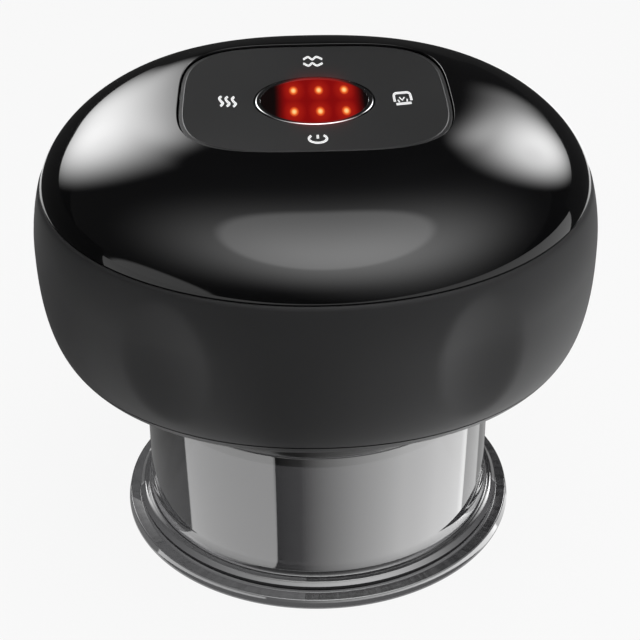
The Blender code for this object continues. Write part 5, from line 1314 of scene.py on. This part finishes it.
def make_flag(name, radius, low, high, start, end, level):
    """A dark flag bent round the object between two azimuths in degrees, seen only in gloss."""
    flag = begin(bpy.ops.mesh.primitive_cylinder_add, vertices=FLAG_SIDES, radius=radius, depth=high - low,
                 end_fill_type="NOTHING", location=(0, 0, (low + high) / 2))
    settle(flag)
    pick_points("DESELECT")
    bpy.ops.mesh.select_mode(type="FACE")
    set_mode("OBJECT")
    for face in flag.data.polygons:
        face.select = not start < math.degrees(math.atan2(face.center.x, face.center.y)) < end
    set_mode("EDIT")
    bpy.ops.mesh.delete(type="FACE")
    bpy.ops.mesh.select_mode(type="VERT")
    stand(take(name, flag), plain_cloth(name, level)[0], GLOSS_ONLY)


def make_foot_mat():
    """A dark ring lying round the cup's foot, which its wall mirrors as the dark band above the foot."""
    mat = begin(bpy.ops.mesh.primitive_circle_add, vertices=FLAG_SIDES, radius=MAT_START,
                fill_type="NOTHING", location=(0, 0, MAT_HEIGHT))
    pick_points()
    extrude((0, 0, 0))
    bpy.ops.transform.resize(value=(MAT_END / MAT_START, MAT_END / MAT_START, 1), center_override=(0, 0, 0))
    stand(take("foot_mat", mat), plain_cloth("foot mat", MAT_LEVEL)[0], GLOSS_ONLY)


def soft_patch():
    """A soft oval of light on the tent, by its place, size, softness at the edge and brightness."""
    inputs = ("Azimuth", "Elevation", "Width", "Height", "Softness", "Brightness")
    tree, given = new_effect("soft patch", dict.fromkeys(inputs, 0.0), ("Light",))
    place = vector_math(tree, "NORMALIZE", {0: object_place(tree)})
    for axis, label in (("Z_AXIS", "Azimuth"), ("X_AXIS", "Elevation")):
        inputs = {"Vector": place, "Angle": given[label]}
        place = add_node(tree, "VectorRotate", inputs, rotation_type=axis).outputs[0]
    place = sides_of(tree, place)
    from_middle = distance(tree, calculate(tree, "DIVIDE", place["X"], given["Width"]),
                           calculate(tree, "DIVIDE", place["Z"], given["Height"]))
    edge = fade(tree, from_middle, calculate(tree, "ADD", given["Softness"], 1.0),
                calculate(tree, "SUBTRACT", 1.0, given["Softness"]))
    facing = calculate(tree, "MULTIPLY", edge, calculate(tree, "GREATER_THAN", place["Y"], 0.0))
    return put_out(tree, {"Light": calculate(tree, "MULTIPLY", facing, given["Brightness"])})


def make_tent():
    """The light tent round the object: dim cloth with the soft patches that its gloss shows."""
    tent = begin(bpy.ops.mesh.primitive_uv_sphere_add, segments=TENT_SIDES, ring_count=TENT_SIDES // 2,
                 radius=TENT_RADIUS, location=LIGHT_AIM)
    take("light_tent", tent)
    made, tree, light, _ = plain_cloth("tent cloth", TENT_LEVEL)
    patch = soft_patch()
    total = TENT_LEVEL
    for azimuth, elevation, width, height, softness, brightness in TENT_PATCHES:
        values = {"Azimuth": math.radians(azimuth), "Elevation": math.radians(-elevation), "Width": width,
                  "Height": height, "Softness": softness, "Brightness": brightness}
        total = calculate(tree, "ADD", use_effect(tree, patch, values)["Light"], total)
    tree.links.new(total, light.inputs["Strength"])
    made.cycles.emission_sampling = "NONE"
    stand(tent, made, GLOSS_ONLY)


def make_cup_card():
    """A printed card lying in front of the cup. Its bands show in the cup's wall as upright stripes."""
    card = begin(bpy.ops.mesh.primitive_grid_add, x_subdivisions=CARD_COLUMNS, y_subdivisions=1, size=1)
    take("cup_card", card)
    camera = Vector((math.sin(CAMERA_YAW), -math.cos(CAMERA_YAW), 0)) * CAMERA_DISTANCE
    for vertex in card.data.vertices:
        angle = CARD_REACH * 2 * vertex.co.x
        normal = Vector((math.sin(angle), -math.cos(angle), 0))
        ray = (normal * CUP_WALL - camera).normalized()
        away = ray - 2 * ray.dot(normal) * normal
        reach = CARD_NEAR if vertex.co.y < 0 else CARD_FAR
        vertex.co = normal * CUP_WALL + away * reach
        vertex.co.z = CARD_HEIGHT
    made, tree, light, _ = plain_cloth("printed card", CARD_STRENGTH)
    across = sides_of(tree, tree.nodes.new("ShaderNodeUVMap").outputs["UV"])["X"]
    stops = [(0.5 + math.radians(angle) / CARD_REACH / 2, (level,) * 3) for angle, level in CARD_STOPS]
    tree.links.new(ramped(tree, across, stops, (0, 0, 0)), light.inputs["Color"])
    stand(card, made, GLOSS_ONLY)


def make_studio():
    make_floor()
    make_world()
    make_tent()
    make_flag("wall_flag", **WALL_FLAG)
    make_flag("foot_flag", **FOOT_FLAG)
    make_foot_mat()
    make_cup_card()
    make_overhead()
    make_fill()


def set_camera():
    data = bpy.data.cameras.new("camera")
    data.lens = LENS * MILLIMETRES
    data.sensor_width = SENSOR * MILLIMETRES
    data.shift_x = CAMERA_SHIFT
    data.clip_start = CAMERA_NEAREST
    camera = bpy.data.objects.new("camera", data)
    bpy.context.scene.collection.objects.link(camera)
    orbit = Matrix.Rotation(CAMERA_YAW, 4, "Z") @ Matrix.Translation((0, -CAMERA_DISTANCE, CAMERA_HEIGHT))
    aim = Matrix.Rotation(CAMERA_PITCH, 4, "X") @ Matrix.Rotation(CAMERA_ROLL, 4, "Z")
    camera.matrix_world = orbit @ aim
    bpy.context.scene.camera = camera
    bpy.context.scene.view_settings.view_transform = "Standard"


def dress(piece, body, finish, slot, *nodes):
    """Gives a piece its finish and its body, and hides the CAD nodes that it takes the place of."""
    piece.data.materials.clear()
    piece.data.materials.append(finish)
    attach(piece, body)
    if nodes:
        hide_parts(*nodes)


def build():
    """Models and dresses every piece, and gives the CAD nodes that still show their finishes."""
    finishes = make_finishes()
    pieces = [
        (make_crown(), "head", "gloss_cover", "top_cover"),
        (make_grip(), "head", "matt_shell", "side_shell"),
        (make_underside(), "head", "matt_base", "base_cover"),
    ]
    for number, screw in enumerate(make_screws(), 1):
        pieces.append((screw, "head", "plated_steel", f"base_screw_{number}"))
    port, tongue = make_port()
    pieces += [
        (make_collar(), "head", "collar_plastic", "cup_socket"),
        (make_seal(), "seal", "seal_rubber", "cup_seal"),
        (make_plate(), "head", "warming_plate", "heating_plate"),
        (make_lamp_ring(), "head", "red_lamp", "lamp_lens"),
        (make_filter_cap(), "filter", "inner_black", "filter_cap"),
        (port, "head", "plated_steel", "charge_port"),
        (tongue, "head", "port_tongue"),
        (make_bezel(), "head", "display_chrome", "display_ring"),
        (make_window(), "head", "display_window", "display_window"),
        (make_panel(), "panel", "panel_plastic", "control_panel"),
    ]
    pieces += [(icon, "panel", "icon_ink") for icon in make_icons()]
    pieces += [(make_cup(), "cup", "smoked_cup", "cup")]
    for piece, body, slot, *nodes in pieces:
        dress(piece, body, finishes[slot], slot, *nodes)
    for part in frame["record"]["subparts"]:
        for socket in frame["nodes"][part["node"]].material_slots:
            socket.link = "OBJECT"
            socket.material = finishes[part["material_slot"]]


set_camera()
make_studio()
build()
